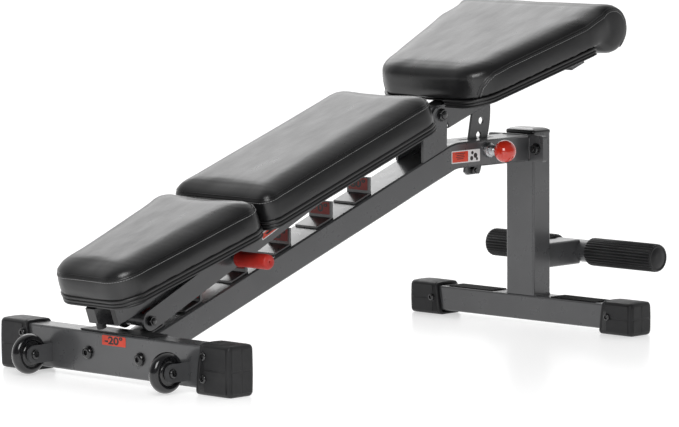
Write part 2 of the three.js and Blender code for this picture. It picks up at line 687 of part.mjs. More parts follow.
function strutBars() {
  const { inner, outer, half } = STRUT_BAR;
  const outline = new THREE.Shape();
  outline.absarc(0, 0, half, -Math.PI / 2, Math.PI / 2, false);
  outline.absarc(-strutLength, 0, half, Math.PI / 2, (3 * Math.PI) / 2, false);
  const grip = -strutLength + GRIP.along;
  const parts = SIDES.map(([, side]) => {
    const y = side > 0 ? [inner, outer] : [-outer, -inner];
    const stub = side > 0 ? [outer - 1, GRIP.end - 6] : [-GRIP.end + 6, -outer + 1];
    return join(alongY(outline, y[0], y[1], 0, 8), rodY(grip, 0, GRIP.rodRadius, stub[0], stub[1], 20));
  });
  const footTube = rodY(-strutLength, 0, STRUT_FOOT.radius, -inner - 1, inner + 1, 28);
  const holes = [rodY(0, 0, 7.4, -60, 60), rodY(-strutLength, 0, 6.4, -60, 60)];
  return piece('strut_frame', cut(join(parts[0], footTube, parts[1]), ...holes), FRAME_GREY);
}

function strutFootBolt() {
  const under = STRUT_BAR.outer + GAP;
  const bolt = domeBolt(6, 11, 5, 2 * under + 8, 10, -2 * under);
  bolt.rotateZ(Math.PI).translate(-strutLength, -under, 0);
  return piece('strut_foot_bolt', bolt, BLACK_STEEL);
}

function strutGrip(name, side) {
  const { start, end, radius, rodRadius } = GRIP;
  const bore = rodRadius + 0.4;
  const profile = [[bore, start], [radius - 1, start], [radius, start + 2], [radius, end - 5],
    [radius - 2, end - 1.2], [radius - 5, end], [0, end], [0, end - 5], [bore, end - 5], [bore, start]];
  const sleeve = turned(profile, 28);
  if (side < 0) sleeve.rotateX(Math.PI);
  return piece(name, sleeve.translate(-strutLength + GRIP.along, 0, 0), RED_RUBBER);
}

// ---------------------------------------------------------------- seat, in the tilted frame

const seatHalf = (along) => Math.min(SEAT_HALF.atPivot + SEAT_HALF.flare * along, SEAT_HALF.most);

function seatFrame() {
  const { start, end, half, bottom, top } = SEAT_TUBE;
  const tube = alongX(tubeSection(-half, bottom, half, top), start, end);
  const { inner, radius, overlap } = SEAT_LUG;
  const lugs = SIDES.map(([, side]) => {
    const y = side > 0 ? [inner, half] : [-half, -inner];
    return lug(tongue(start + overlap, bottom + 8, top - 2, radius), y[0], y[1]);
  });
  const { from, to, halfWidth, bottom: barBottom } = SEAT_BAR;
  const crossBar = block(from, to, -halfWidth, halfWidth, barBottom, top);
  const { back, halfWidth: strapHalf, thickness } = SEAT_STRAP;
  const raised = top + thickness;
  const strap = block(end - back, to, -strapHalf, strapHalf, top - 1, raised);
  const across = SEAT_CROSS_PLATE;
  const plate = block(across.from, across.to, -across.halfWidth, across.halfWidth, top - 4, raised);
  const slotted = cut(tube, block(0, start + 2 * overlap + 2, -inner, inner, bottom - 20, top + 20));
  return piece('seat_frame', join(slotted, ...lugs, crossBar, strap, plate), FRAME_GREY);
}

// Plug in the seat tube's outer end.
function seatPlug() {
  const { end, half, bottom, top } = SEAT_TUBE;
  const face = alongX(roundedRect(-half, bottom, half, top - 1.5, CORNER), end + GAP, end + 4);
  const inside = half - WALL - 1;
  const section = roundedRect(-inside, bottom + WALL + 1, inside, top - WALL - 1, 2);
  const insert = alongX(section, end - 12, end + 1);
  return piece('seat_plug', join(face, insert), BLACK_PLASTIC);
}

// Plate under the seat tube, with a row of pin holes on a circle round the hinge.
function arcPlate() {
  const { inner, outer, half, turn, holeCircle, holeRadius } = ARC;
  const edge = SEAT_TUBE.bottom - GAP;
  const outline = new THREE.Shape();
  outline.moveTo(Math.sqrt(inner ** 2 - edge ** 2), edge);
  outline.lineTo(Math.sqrt(outer ** 2 - edge ** 2), edge);
  outline.absarc(0, 0, outer, Math.asin(edge / outer), toRadians(turn), true);
  ARC_FOOT.forEach(([x, z]) => outline.lineTo(x, z));
  for (let hole = 0; hole < 3; hole += 1) {
    const angle = toRadians(PIN.angle - TILT + hole * PIN.pitch);
    const centre = { x: holeCircle * Math.cos(angle), z: holeCircle * Math.sin(angle) };
    outline.holes.push(circle(centre.x, centre.z, holeRadius, THREE.Path));
  }
  const stop = stopPlace();
  outline.holes.push(circle(stop.x, stop.z, 4.9, THREE.Path));
  return piece('seat_arc_plate', alongY(outline, -half, half, 0, 14), FRAME_GREY);
}

function stopPlace() {
  const angle = toRadians(STOP_BOLT.angle);
  return { x: STOP_BOLT.circle * Math.cos(angle), z: STOP_BOLT.circle * Math.sin(angle) };
}

// Cross bolt at the plate's lower end; it meets the underside of the main tube.
function arcStop() {
  const place = stopPlace();
  const bolt = domeBolt(4.6, 9, 6, 22, 9, -9);
  bolt.rotateZ(Math.PI).translate(place.x, -ARC.half - GAP, place.z);
  return piece('seat_stop_bolt', bolt, BLACK_STEEL);
}

// Gives a solid of half width 1 in Y the seat's flare.
function flare(geometry, inset) {
  const position = geometry.attributes.position;
  for (let i = 0; i < position.count; i += 1) {
    position.setY(i, position.getY(i) * (seatHalf(position.getX(i)) - inset));
  }
  return geometry;
}

// Outline of the seat seen from above, with its inner corners rounded.
function seatPlan(from, to, inset, corner) {
  const half = (x) => seatHalf(x) - inset;
  const widest = (SEAT_HALF.most - SEAT_HALF.atPivot) / SEAT_HALF.flare;
  const outline = new THREE.Shape();
  outline.moveTo(to, -half(to));
  outline.lineTo(to, half(to));
  outline.lineTo(widest, half(widest));
  outline.lineTo(from + corner, half(from + corner));
  outline.quadraticCurveTo(from, half(from), from, half(from) - corner);
  outline.lineTo(from, corner - half(from));
  outline.quadraticCurveTo(from, -half(from), from + corner, -half(from + corner));
  outline.lineTo(widest, -half(widest));
  return outline;
}

function seatBoard() {
  const { from, to, bottom, top, corner } = SEAT_BOARD;
  const outline = polygon([[from, bottom], [to - 20, bottom], [to, bottom + 8], [to, top], [from, top]]);
  const plan = alongZ(seatPlan(from, to + 10, 2, corner), bottom - 1, top + 1, 6);
  const { to: notchEnd, halfWidth } = SEAT_NOTCH;
  const notch = block(from - 1, notchEnd, -halfWidth, halfWidth, bottom - 1, top + 1);
  return piece('seat_board', cut(common(flare(alongY(outline, -1, 1), 2), plan), notch), BOARD);
}

function seatPad() {
  const { along, up, radius } = SEAT_ROLL;
  const { from, roll } = SEAT_PAD;
  const low = SEAT_BOARD.top + GAP;
  const outline = new THREE.Shape();
  outline.moveTo(from, low);
  outline.lineTo(SEAT_BOARD.to + 6, low);
  outline.lineTo(along - 46, up - 20);
  outline.absarc(along, up, radius, toRadians(205), toRadians(450), false);
  outline.lineTo(from + roll + 1, SEAT_TOP - 1);
  outline.absarc(from + roll, SEAT_TOP - 1 - roll, roll, Math.PI / 2, Math.PI, false);
  const body = flare(alongY(outline, -1, 1, 0, 10), 0);
  const seen = seatPlan(from, along + radius + 5, 0, SEAT_BOARD.corner);
  const plan = alongZ(seen, up - radius - 5, SEAT_TOP + 5, 6);
  return piece('seat_pad', common(body, plan), VINYL);
}

// ---------------------------------------------------------------- assembly

function tilted(...meshes) {
  const group = new THREE.Group();
  group.position.set(PIVOT.x, 0, PIVOT.z);
  group.rotation.y = -tilt;
  group.add(...meshes);
  return group;
}

function strutGroup(...meshes) {
  const group = new THREE.Group();
  group.position.set(strutPivot3.x, 0, strutPivot3.z);
  group.rotation.y = -strutSlope;
  group.add(...meshes);
  return group;
}

const bench = new THREE.Group();
bench.position.x = -CENTRE_X;

bench.add(frontBeam(), restPad(), mainTube(), rearPost(), postCap(), rearFoot());
bench.add(flangePlate('tube_flange', MAIN_END_X));
bench.add(flangePlate('post_flange', MAIN_END_X + FLANGE.thickness + GAP));
bench.add(hingeBolt(), pinBarrel(), pinSpring(), pullPin(), pinKnob(), footBracket(), rollerAxle());
STEP_FACES.forEach((face, number) => bench.add(ladderStep(number + 1, face)));

for (const [hand, side] of SIDES) {
  bench.add(
    beamBolt(`beam_bolt_${hand}`, side),
    frontBoot(`front_boot_${hand}`, side),
    wheelFork(`wheel_fork_${hand}`, side),
    wheelAxle(`wheel_axle_${hand}`, side),
    wheel(`wheel_${hand}`, side),
    rearBoot(`rear_boot_${hand}`, side),
    footStrip(`foot_strip_${hand}`, side),
    flangeBolt(`flange_bolt_${hand}`, side),
    hingePlate(`hinge_plate_${hand}`, side),
    footRoller(`foot_roller_${hand}`, side),
  );
}

bench.add(tilted(
  backrestTube(),
  backrestPlug(),
  backrestBumper(),
  ...backPads(),
  strutPivot(),
  seatFrame(),
  seatPlug(),
  arcPlate(),
  arcStop(),
  seatBoard(),
  seatPad(),
));

bench.add(strutGroup(
  strutBars(),
  strutFootBolt(),
  strutGrip('strut_grip_left', 1),
  strutGrip('strut_grip_right', -1),
));

export default bench;
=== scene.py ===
"""Looks of the decline sit up bench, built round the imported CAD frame.

Sizes are in millimetres from the front face of the front beam, as in the CAD, and make() turns them
into metres in the row frame.
"""
import json
import math

import bmesh
import bpy
from mathutils import Matrix, Vector
from mathutils.bvhtree import BVHTree


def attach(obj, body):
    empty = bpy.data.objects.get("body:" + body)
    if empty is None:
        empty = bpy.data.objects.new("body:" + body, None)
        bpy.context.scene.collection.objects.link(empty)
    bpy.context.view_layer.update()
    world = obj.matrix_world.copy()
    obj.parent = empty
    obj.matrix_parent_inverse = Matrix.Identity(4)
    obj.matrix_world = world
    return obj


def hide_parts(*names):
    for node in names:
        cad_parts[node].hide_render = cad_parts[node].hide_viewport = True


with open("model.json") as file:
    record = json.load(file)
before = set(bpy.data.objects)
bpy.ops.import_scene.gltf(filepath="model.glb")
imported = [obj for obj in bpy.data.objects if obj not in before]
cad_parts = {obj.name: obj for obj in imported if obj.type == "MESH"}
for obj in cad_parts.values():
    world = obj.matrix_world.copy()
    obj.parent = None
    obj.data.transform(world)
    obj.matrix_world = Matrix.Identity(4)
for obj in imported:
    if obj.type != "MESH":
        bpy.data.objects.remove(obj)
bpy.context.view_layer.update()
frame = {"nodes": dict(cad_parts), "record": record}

# ---------------------------------------------------------------- dimensions, as in the CAD
CENTRE_X = 618.8
TILT = math.radians(19.5)
PIVOT = (852.6, 449.0)
STRUT_ALONG, STRUT_UP = 372.0, -8.0
STRUT_FOOT = (60.0, 113.5)
REAR_X = 1124.0
WHEEL = (-45.0, 190.0, 41.0)
ROLLER = (1292.0, 138.5)
PIN_ANGLE = math.radians(-30.5)
PIN_CIRCLE = 155.5
SIDES = (("left", 1), ("right", -1))

BENCH = Matrix.Translation((-CENTRE_X, 0, 0))
HINGE = BENCH @ Matrix.Translation((PIVOT[0], 0, PIVOT[1])) @ Matrix.Rotation(-TILT, 4, "Y")
STRUT_PIVOT = (
    PIVOT[0] - STRUT_ALONG * math.cos(TILT) - STRUT_UP * math.sin(TILT),
    PIVOT[1] - STRUT_ALONG * math.sin(TILT) + STRUT_UP * math.cos(TILT),
)
STRUT_RUN = (STRUT_PIVOT[0] - STRUT_FOOT[0], STRUT_PIVOT[1] - STRUT_FOOT[1])
STRUT_LENGTH = math.hypot(*STRUT_RUN)
STRUT = (BENCH @ Matrix.Translation((STRUT_PIVOT[0], 0, STRUT_PIVOT[1]))
         @ Matrix.Rotation(-math.atan2(STRUT_RUN[1], STRUT_RUN[0]), 4, "Y"))
MAIN_SLOPE = math.radians(20.3)
MAIN_BEND = (895, 364.5)
MAIN_HALF_HEIGHT = 26
TUBE_HALF_WIDTH = 38
POST_DEPTH = 51
STEP_FACES = (101, 199, 320, 437, 552, 658)
BEAM_BOLT = (71.5, 50)
FLANGE_BOLT = (56, 364)


def main_top(x):
    """Height of the main tube's upper face on its sloping stretch."""
    return MAIN_BEND[1] + (x - MAIN_BEND[0]) * math.tan(MAIN_SLOPE) + MAIN_HALF_HEIGHT / math.cos(MAIN_SLOPE)


# ---------------------------------------------------------------- materials

def node_material(name):
    material = bpy.data.materials.new(name)
    material.use_nodes = True
    tree = material.node_tree
    shader = next(n for n in tree.nodes if n.type == "BSDF_PRINCIPLED")
    return material, tree, shader


def coords(tree):
    return tree.nodes.new("ShaderNodeTexCoord").outputs["Object"]


def noise_node(tree, scale, detail=3.0, rough=0.55, stretch=None):
    node = tree.nodes.new("ShaderNodeTexNoise")
    node.inputs["Scale"].default_value = scale
    node.inputs["Detail"].default_value = detail
    node.inputs["Roughness"].default_value = rough
    source = coords(tree)
    if stretch:
        mapping = tree.nodes.new("ShaderNodeMapping")
        mapping.inputs["Scale"].default_value = stretch
        tree.links.new(source, mapping.inputs["Vector"])
        source = mapping.outputs["Vector"]
    tree.links.new(source, node.inputs["Vector"])
    return node


# The part of a noise's 0 to 1 that most of its values lie in.
NOISE_LOW, NOISE_HIGH = 0.3, 0.7


def remap(tree, source, low, high):
    node = tree.nodes.new("ShaderNodeMapRange")
    node.inputs["From Min"].default_value = NOISE_LOW
    node.inputs["From Max"].default_value = NOISE_HIGH
    node.inputs["To Min"].default_value = low
    node.inputs["To Max"].default_value = high
    tree.links.new(source, node.inputs["Value"])
    return node.outputs["Result"]


def two_tone(tree, source, dark, light):
    ramp = tree.nodes.new("ShaderNodeValToRGB")
    ramp.color_ramp.elements[0].position = NOISE_LOW
    ramp.color_ramp.elements[1].position = NOISE_HIGH
    ramp.color_ramp.elements[0].color = (*dark, 1)
    ramp.color_ramp.elements[1].color = (*light, 1)
    tree.links.new(source, ramp.inputs["Fac"])
    return ramp.outputs["Color"]


def bump_chain(tree, shader, layers):
    """Stacks bumps of (height output, strength, distance in metres) into the shader's normal."""
    normal = None
    for height, strength, distance in layers:
        bump = tree.nodes.new("ShaderNodeBump")
        bump.inputs["Strength"].default_value = strength
        bump.inputs["Distance"].default_value = distance
        tree.links.new(height, bump.inputs["Height"])
        if normal:
            tree.links.new(normal, bump.inputs["Normal"])
        normal = bump.outputs["Normal"]
    tree.links.new(normal, shader.inputs["Normal"])


def finish_material(name, dark, light, rough, metallic=0.0, coat=0.0, coat_rough=0.15,
                    tone_scale=8.0, grain=(700.0, 0.15, 0.0002), specular=0.5):
    """Two close tones with an uneven sheen. grain is a bump's (scale, strength, distance in metres)."""
    material, tree, shader = node_material(name)
    tone = noise_node(tree, tone_scale).outputs["Fac"]
    tree.links.new(two_tone(tree, tone, dark, light), shader.inputs["Base Color"])
    smudge = noise_node(tree, tone_scale * 5).outputs["Fac"]
    tree.links.new(remap(tree, smudge, rough[0], rough[1]), shader.inputs["Roughness"])
    shader.inputs["Metallic"].default_value = metallic
    shader.inputs["Coat Weight"].default_value = coat
    shader.inputs["Coat Roughness"].default_value = coat_rough
    shader.inputs["Specular IOR Level"].default_value = specular
    scale, strength, distance = grain
    fine = noise_node(tree, scale, 2.0).outputs["Fac"]
    bump_chain(tree, shader, [(fine, strength, distance)])
    return material


def vinyl_material(name, dark, light, rough):
    """Upholstery vinyl: pebble grain, soft creases and slightly uneven sheen."""
    material, tree, shader = node_material(name)
    tone = noise_node(tree, 9.0, 4.0).outputs["Fac"]
    tree.links.new(two_tone(tree, tone, dark, light), shader.inputs["Base Color"])
    smudge = noise_node(tree, 14.0, 3.0, stretch=(1.0, 2.5, 1.0)).outputs["Fac"]
    tree.links.new(remap(tree, smudge, rough[0], rough[1]), shader.inputs["Roughness"])
    shader.inputs["Specular IOR Level"].default_value = 0.62
    pebble = tree.nodes.new("ShaderNodeTexVoronoi")
    pebble.feature = "SMOOTH_F1"
    pebble.inputs["Scale"].default_value = 620.0
    pebble.inputs["Smoothness"].default_value = 0.6
    tree.links.new(coords(tree), pebble.inputs["Vector"])
    crease = noise_node(tree, 16.0, 5.0, 0.6, stretch=(1.0, 1.8, 1.0)).outputs["Fac"]
    ripple = noise_node(tree, 120.0, 3.0).outputs["Fac"]
    bump_chain(tree, shader, [
        (crease, 0.22, 0.002),
        (ripple, 0.12, 0.0003),
        (pebble.outputs["Distance"], 0.22, 0.00025),
    ])
    return material


COAT = finish_material("powder_coat", (0.07, 0.071, 0.074), (0.084, 0.085, 0.088), (0.26, 0.34),
                       metallic=0.15, coat=0.55, coat_rough=0.16, grain=(900.0, 0.1, 0.0001))
FASTENER = finish_material("black_fastener", (0.01, 0.01, 0.011), (0.018, 0.018, 0.019), (0.12, 0.2),
                           metallic=0.5, coat=1.0, coat_rough=0.04, tone_scale=60.0)
ZINC = finish_material("zinc", (0.4, 0.41, 0.42), (0.55, 0.56, 0.57), (0.22, 0.34), metallic=1.0,
                       tone_scale=60.0, grain=(500.0, 0.1, 0.0001))
RUBBER = finish_material("black_rubber", (0.012, 0.012, 0.013), (0.019, 0.019, 0.02), (0.36, 0.48),
                         tone_scale=20.0, grain=(1100.0, 0.35, 0.00025), specular=0.35)
PLASTIC = finish_material("black_plastic", (0.004, 0.004, 0.005), (0.008, 0.008, 0.009), (0.14, 0.22),
                          coat=0.4, coat_rough=0.06, tone_scale=30.0)
VINYL = vinyl_material("vinyl", (0.006, 0.006, 0.0065), (0.0095, 0.0095, 0.01), (0.27, 0.35))
EDGE_VINYL = vinyl_material("edge_vinyl", (0.004, 0.004, 0.0045), (0.007, 0.007, 0.0075), (0.3, 0.4))
THREAD = finish_material("thread", (0.16, 0.16, 0.16), (0.27, 0.27, 0.27), (0.5, 0.7), tone_scale=300.0,
                         grain=(2500.0, 0.4, 0.0002))
RED_PLASTIC = finish_material("red_plastic", (0.56, 0.022, 0.008), (0.62, 0.03, 0.011), (0.12, 0.18),
                              coat=0.8, coat_rough=0.04, tone_scale=25.0, grain=(300.0, 0.03, 0.0001))
RED_RUBBER = finish_material("red_rubber", (0.4, 0.014, 0.009), (0.5, 0.022, 0.013), (0.42, 0.56),
                             tone_scale=40.0, grain=(1300.0, 0.4, 0.0003))
GRIP_TAPE = finish_material("grip_tape", (0.006, 0.006, 0.006), (0.01, 0.01, 0.01), (0.7, 0.8),
                            tone_scale=40.0, grain=(1500.0, 0.5, 0.0003), specular=0.12)
LABEL_RED = finish_material("label_red", (0.68, 0.045, 0.016), (0.72, 0.055, 0.02), (0.3, 0.36),
                            tone_scale=50.0)
# The step labels use the same red as label_red, painted darker: this is painted shade for steps that sit in
# shadow.
PAINTED_SHADE_STEP_RED = finish_material("painted_shade_step_red", (0.26, 0.014, 0.008), (0.32, 0.02, 0.011), (0.4, 0.5), tone_scale=50.0)
LABEL_WHITE = finish_material("label_white", (0.74, 0.74, 0.74), (0.8, 0.8, 0.8), (0.3, 0.36),
                              tone_scale=50.0)
LABEL_INK = finish_material("label_ink", (0.012, 0.012, 0.012), (0.02, 0.02, 0.02), (0.35, 0.45),
                            tone_scale=50.0)

BY_SLOT = {
    "frame_coat": COAT, "black_fastener": FASTENER, "zinc": ZINC, "black_rubber": RUBBER,
    "black_plastic": PLASTIC, "vinyl": VINYL, "board": EDGE_VINYL, "red_plastic": RED_PLASTIC,
    "red_rubber": RED_RUBBER,
}
NODE_SLOT = {row["node"]: row["material_slot"] for row in frame["record"]["subparts"]}
for node, item in frame["nodes"].items():
    item.data.materials.clear()
    item.data.materials.append(GRIP_TAPE if node.startswith("foot_strip") else BY_SLOT[NODE_SLOT[node]])
    item.data.shade_smooth()
    item.data.set_sharp_from_angle(angle=math.radians(38))
    weighted = item.modifiers.new("weighted", "WEIGHTED_NORMAL")
    weighted.keep_sharp = True
    weighted.weight = 100


# ---------------------------------------------------------------- making pieces

def make(name, parts, place, body, material, replaces=(), smooth=38):
    """One piece from a list of (points in mm, faces) parts, placed by a matrix in mm."""
    points, faces = [], []
    for part_points, part_faces in parts:
        start = len(points)
        points += [Vector(p) for p in part_points]
        faces += [[start + i for i in face] for face in part_faces]
    mesh = bpy.data.meshes.new(name)
    mesh.from_pydata([tuple(p) for p in points], [], faces)
    mesh.transform(Matrix.Scale(0.001, 4) @ place)
    tidy = bmesh.new()
    tidy.from_mesh(mesh)
    bmesh.ops.recalc_face_normals(tidy, faces=tidy.faces)
    tidy.to_mesh(mesh)
    tidy.free()
    mesh.materials.append(material)
    mesh.shade_smooth()
    mesh.set_sharp_from_angle(angle=math.radians(smooth))
    piece = bpy.data.objects.new(name, mesh)
    bpy.context.scene.collection.objects.link(piece)
    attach(piece, body)
    if replaces:
        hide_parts(*replaces)
    return piece


def loft(rings, closed_ends=(True, True), loop=False):
    """Faces between rings of equally many points, with flat ends."""
    count = len(rings[0])
    points = [p for ring in rings for p in ring]
    faces = []
    spans = len(rings) if loop else len(rings) - 1
    for r in range(spans):
        a, b = r * count, ((r + 1) % len(rings)) * count
        for i in range(count):
            j = (i + 1) % count
            faces.append([a + i, a + j, b + j, b + i])
    if closed_ends[0] and not loop:
        faces.append(list(range(count)))
    if closed_ends[1] and not loop:
        last = (len(rings) - 1) * count
        faces.append(list(range(last, last + count)))
    return points, faces


def ring_point(angle, reach, height, centre, axis):
    """The point at an angle and a reach from an axis through centre, height along it."""
    u, v = reach * math.cos(angle), reach * math.sin(angle)
    return Vector(centre) + Vector({"X": (height, u, v), "Y": (u, height, v)}[axis])


RING_POINTS = 24


def round_ring(radius, height, centre, axis, segments=RING_POINTS):
    return [ring_point(2 * math.pi * i / segments, radius, height, centre, axis) for i in range(segments)]


def hex_ring(across, height, centre, axis):
    """Ring of points on a hexagon of the given width across its flats."""
    ring = []
    for i in range(RING_POINTS):
        angle = 2 * math.pi * i / RING_POINTS
        reach = across / 2 / math.cos((angle + math.pi / 6) % (math.pi / 3) - math.pi / 6)
        ring.append(ring_point(angle, reach, height, centre, axis))
    return ring


def turned(profile, segments, centre, axis="Y"):
    """Profile of (radius, height) turned about an axis through centre, closed into a solid."""
    return loft([round_ring(max(radius, 0.01), height, centre, axis, segments) for radius, height in profile])


def hollow_turned(profile, segments, centre):
    """Ring-shaped solid from a closed profile of (radius, height)."""
    return loft([round_ring(radius, height, centre, "Y", segments) for radius, height in profile], loop=True)


def dome_head(centre, axis, way, radius, height, socket):
    """Button head with a hex socket. way is the side of the axis that it faces."""
    rings = [
        round_ring(radius * 0.97, 0, centre, axis),
        round_ring(radius, way * height * 0.12, centre, axis),
    ]
    for step in range(1, 6):
        angle = step / 5 * math.pi / 2
        share = math.cos(angle) * (1 - socket * 0.62 / radius) + socket * 0.62 / radius
        rise = way * height * (0.3 + 0.7 * math.sin(angle))
        rings.append(round_ring(radius * share, rise, centre, axis))
    rings.append(hex_ring(socket, way * height * 0.98, centre, axis))
    rings.append(hex_ring(socket * 0.96, way * height * 0.35, centre, axis))
    rings.append(hex_ring(socket * 0.3, way * height * 0.25, centre, axis))
    return loft(rings)


def hex_nut(centre, axis, way, across, height, hole):
    """Hex nut with chamfered corners round a bolt end that stands a little proud."""
    rings = [
        round_ring(across * 0.52, 0, centre, axis),
        hex_ring(across, way * height * 0.1, centre, axis),
        hex_ring(across, way * height * 0.82, centre, axis),
        round_ring(across * 0.48, way * height, centre, axis),
        round_ring(hole * 1.12, way * height, centre, axis),
        round_ring(hole * 1.0, way * height * 0.88, centre, axis),
        round_ring(hole * 0.96, way * height * 1.28, centre, axis),
        round_ring(hole * 0.8, way * height * 1.38, centre, axis),
    ]
    return loft(rings)


def washer(centre, axis, way, radius, thickness):
    rings = [
        round_ring(radius * 0.98, 0, centre, axis, 32),
        round_ring(radius, way * thickness * 0.3, centre, axis, 32),
        round_ring(radius * 0.97, way * thickness, centre, axis, 32),
        round_ring(radius * 0.5, way * thickness, centre, axis, 32),
    ]
    return loft(rings)


def rounded(x0, y0, x1, y1, radius, per_corner=6):
    """Points of a rectangle with round corners, anticlockwise."""
    corners = [(x1 - radius, y0 + radius, -90), (x1 - radius, y1 - radius, 0),
               (x0 + radius, y1 - radius, 90), (x0 + radius, y0 + radius, 180)]
    points = []
    for cx, cy, start in corners:
        for i in range(per_corner + 1):
            angle = math.radians(start + 90 * i / per_corner)
            points.append((cx + radius * math.cos(angle), cy + radius * math.sin(angle)))
    return points


def resample(points, step):
    """The same closed line with points about a step apart."""
    vectors = [Vector(p) for p in points]
    lengths = [(vectors[(i + 1) % len(vectors)] - v).length for i, v in enumerate(vectors)]
    total = sum(lengths)
    count = max(8, round(total / step))
    made, i, gone = [], 0, 0.0
    for k in range(count):
        want = total * k / count
        while gone + lengths[i] < want:
            gone += lengths[i]
            i += 1
        share = (want - gone) / max(lengths[i], 1e-9)
        made.append(vectors[i].lerp(vectors[(i + 1) % len(vectors)], share))
    return made


def inset(points, amount):
    """A closed line moved inwards; its points run anticlockwise."""
    made = []
    for i, point in enumerate(points):
        before, after = Vector(points[i - 1]), Vector(points[(i + 1) % len(points)])
        along = (after - before).normalized()
        made.append(Vector(point) + Vector((-along.y, along.x)) * amount)
    return made


def rod(points, radius, sides=8, ends=True):
    """Round bar along a line of points."""
    line = [Vector(p) for p in points]
    rings = []
    side = None
    for i, point in enumerate(line):
        along = (line[min(i + 1, len(line) - 1)] - line[max(i - 1, 0)]).normalized()
        if side is None:
            side = along.orthogonal().normalized()
        side = (side - along * side.dot(along)).normalized()
        other = along.cross(side)
        rings.append([point + (side * math.cos(a) + other * math.sin(a)) * radius
                      for a in (2 * math.pi * k / sides for k in range(sides))])
    return loft(rings, (ends, ends))


# How a point (u, v) of an outline and its level w lie in space.
PLANES = {
    "XY": lambda u, v, w: (u, v, w),
    "XZ": lambda u, v, w: (u, w, v),
    "YZ": lambda u, v, w: (w, u, v),
}


def slab(outline, low, high, edge=0.0, plane="XY"):
    """Solid between two levels over an outline, with small chamfers."""
    levels = [(low, 0), (high, 0)]
    if edge:
        levels = [(low, edge), (low + edge, 0), (high - edge, 0), (high, edge)]
    rings = []
    for level, shrink in levels:
        ring = inset(outline, shrink) if shrink else [Vector(p) for p in outline]
        rings.append([PLANES[plane](p[0], p[1], level) for p in ring])
    return loft(rings)


# ---------------------------------------------------------------- pads

PAD_VOXEL = 5.0
PAD_PRESSURE = 4.0
CLOTH_FRAMES = 20
SPREAD_ROUNDS = 24
# How much of a pad, from its underside up, is stapled to its board.
HELD_HEIGHT = 8
TO_HINGE = (Matrix.Scale(0.001, 4) @ HINGE @ Matrix.Scale(1000.0, 4)).inverted()


def in_hinge(point):
    """A point in mm as the hinge's frame has it."""
    return (TO_HINGE @ (point / 1000)) * 1000


def puff(piece, cap, held):
    """Inflates a pad as cloth, moving no point by more than cap. held says of a point in mm whether it is
    fixed to its board."""
    remesh = piece.modifiers.new("remesh", "REMESH")
    remesh.mode = "VOXEL"
    remesh.voxel_size = PAD_VOXEL / 1000
    apply_modifiers(piece)
    smooth = piece.modifiers.new("smooth", "SMOOTH")
    smooth.factor = 0.5
    smooth.iterations = 3
    apply_modifiers(piece)
    mesh = piece.data
    start = [v.co.copy() for v in mesh.vertices]
    group = piece.vertex_groups.new(name="held")
    group.add([v.index for v in mesh.vertices if held(v.co * 1000)], 1.0, "REPLACE")
    cloth = piece.modifiers.new("cloth", "CLOTH")
    cloth.settings.use_pressure = True
    cloth.settings.uniform_pressure_force = PAD_PRESSURE
    cloth.settings.effector_weights.gravity = 0.0
    cloth.settings.vertex_group_mass = group.name
    cloth.settings.quality = 5
    cloth.collision_settings.use_collision = False
    cloth.point_cache.frame_start = 1
    cloth.point_cache.frame_end = CLOTH_FRAMES
    scene = bpy.context.scene
    for number in range(1, CLOTH_FRAMES + 1):
        scene.frame_set(number)
    moved = piece.evaluated_get(bpy.context.evaluated_depsgraph_get()).data
    ends = [v.co.copy() for v in moved.vertices]
    piece.modifiers.remove(cloth)
    piece.vertex_groups.clear()
    shifts = [last - first for first, last in zip(start, ends)]
    for shift in shifts:
        if shift.length > cap / 1000:
            shift *= cap / 1000 / shift.length
    shifts = spread(mesh, shifts)
    for vertex, first, shift in zip(mesh.vertices, start, shifts):
        vertex.co = first + shift
    scene.frame_set(1)
    smooth = piece.modifiers.new("smooth", "SMOOTH")
    smooth.factor = 0.5
    smooth.iterations = 2
    apply_modifiers(piece)
    subdivide = piece.modifiers.new("subdivide", "SUBSURF")
    subdivide.levels = subdivide.render_levels = 1
    apply_modifiers(piece)
    piece.data.shade_smooth()


def spread(mesh, shifts):
    """Evens the movement out over the surface, so that the cover is taut and has no wrinkles."""
    near = [[] for _ in shifts]
    for edge in mesh.edges:
        a, b = edge.vertices
        near[a].append(b)
        near[b].append(a)
    for _ in range(SPREAD_ROUNDS):
        shifts = [shift * 0.4 + sum((shifts[j] for j in near[i]), Vector()) * (0.6 / max(len(near[i]), 1))
                  for i, shift in enumerate(shifts)]
    return shifts


def apply_modifiers(piece):
    """Puts the evaluated mesh in place of the piece's own."""
    bpy.context.view_layer.update()
    final = bpy.data.meshes.new_from_object(piece.evaluated_get(bpy.context.evaluated_depsgraph_get()))
    piece.modifiers.clear()
    old = piece.data
    piece.data = final
    final.name = piece.name
    bpy.data.meshes.remove(old)


def plan_outline(low, high, half_low, half_high, radius_low, radius_high):
    """Pad outline from above, anticlockwise, in the hinge's frame, where X is low to high."""
    points = []
    for cx, half, radius, start in (
        (high - radius_high, half_high, radius_high, -90), (high - radius_high, half_high, radius_high, 0),
        (low + radius_low, half_low, radius_low, 90), (low + radius_low, half_low, radius_low, 180),
    ):
        cy = -(half - radius) if start in (-90, 180) else half - radius
        for i in range(13):
            angle = math.radians(start + 90 * i / 12)
            points.append((cx + radius * math.cos(angle), cy + radius * math.sin(angle)))
    return resample(points, 6.0)


def crowned(outline, levels):
    """Closed form over an outline from (height, inset) levels."""
    return loft([[(p[0], p[1], height) for p in inset(outline, shrink)] for height, shrink in levels])


# Trim of a board: height above its underside and inset of the wrapped edge.
BOARD_EDGE = [(0, 5), (0.3, 2.2), (1.2, 0.7), (3.6, 0.3), (4.6, 0.9), (5.2, 2.2), (5.9, 2.2), (6.6, 0.7),
              (9.6, 0.3), (10.6, 0.9), (11.2, 2.2), (11.9, 2.2), (12.6, 0.3), (14.6, -0.6), (16.8, -0.8),
              (18.2, -0.2), (18.8, 1.2)]
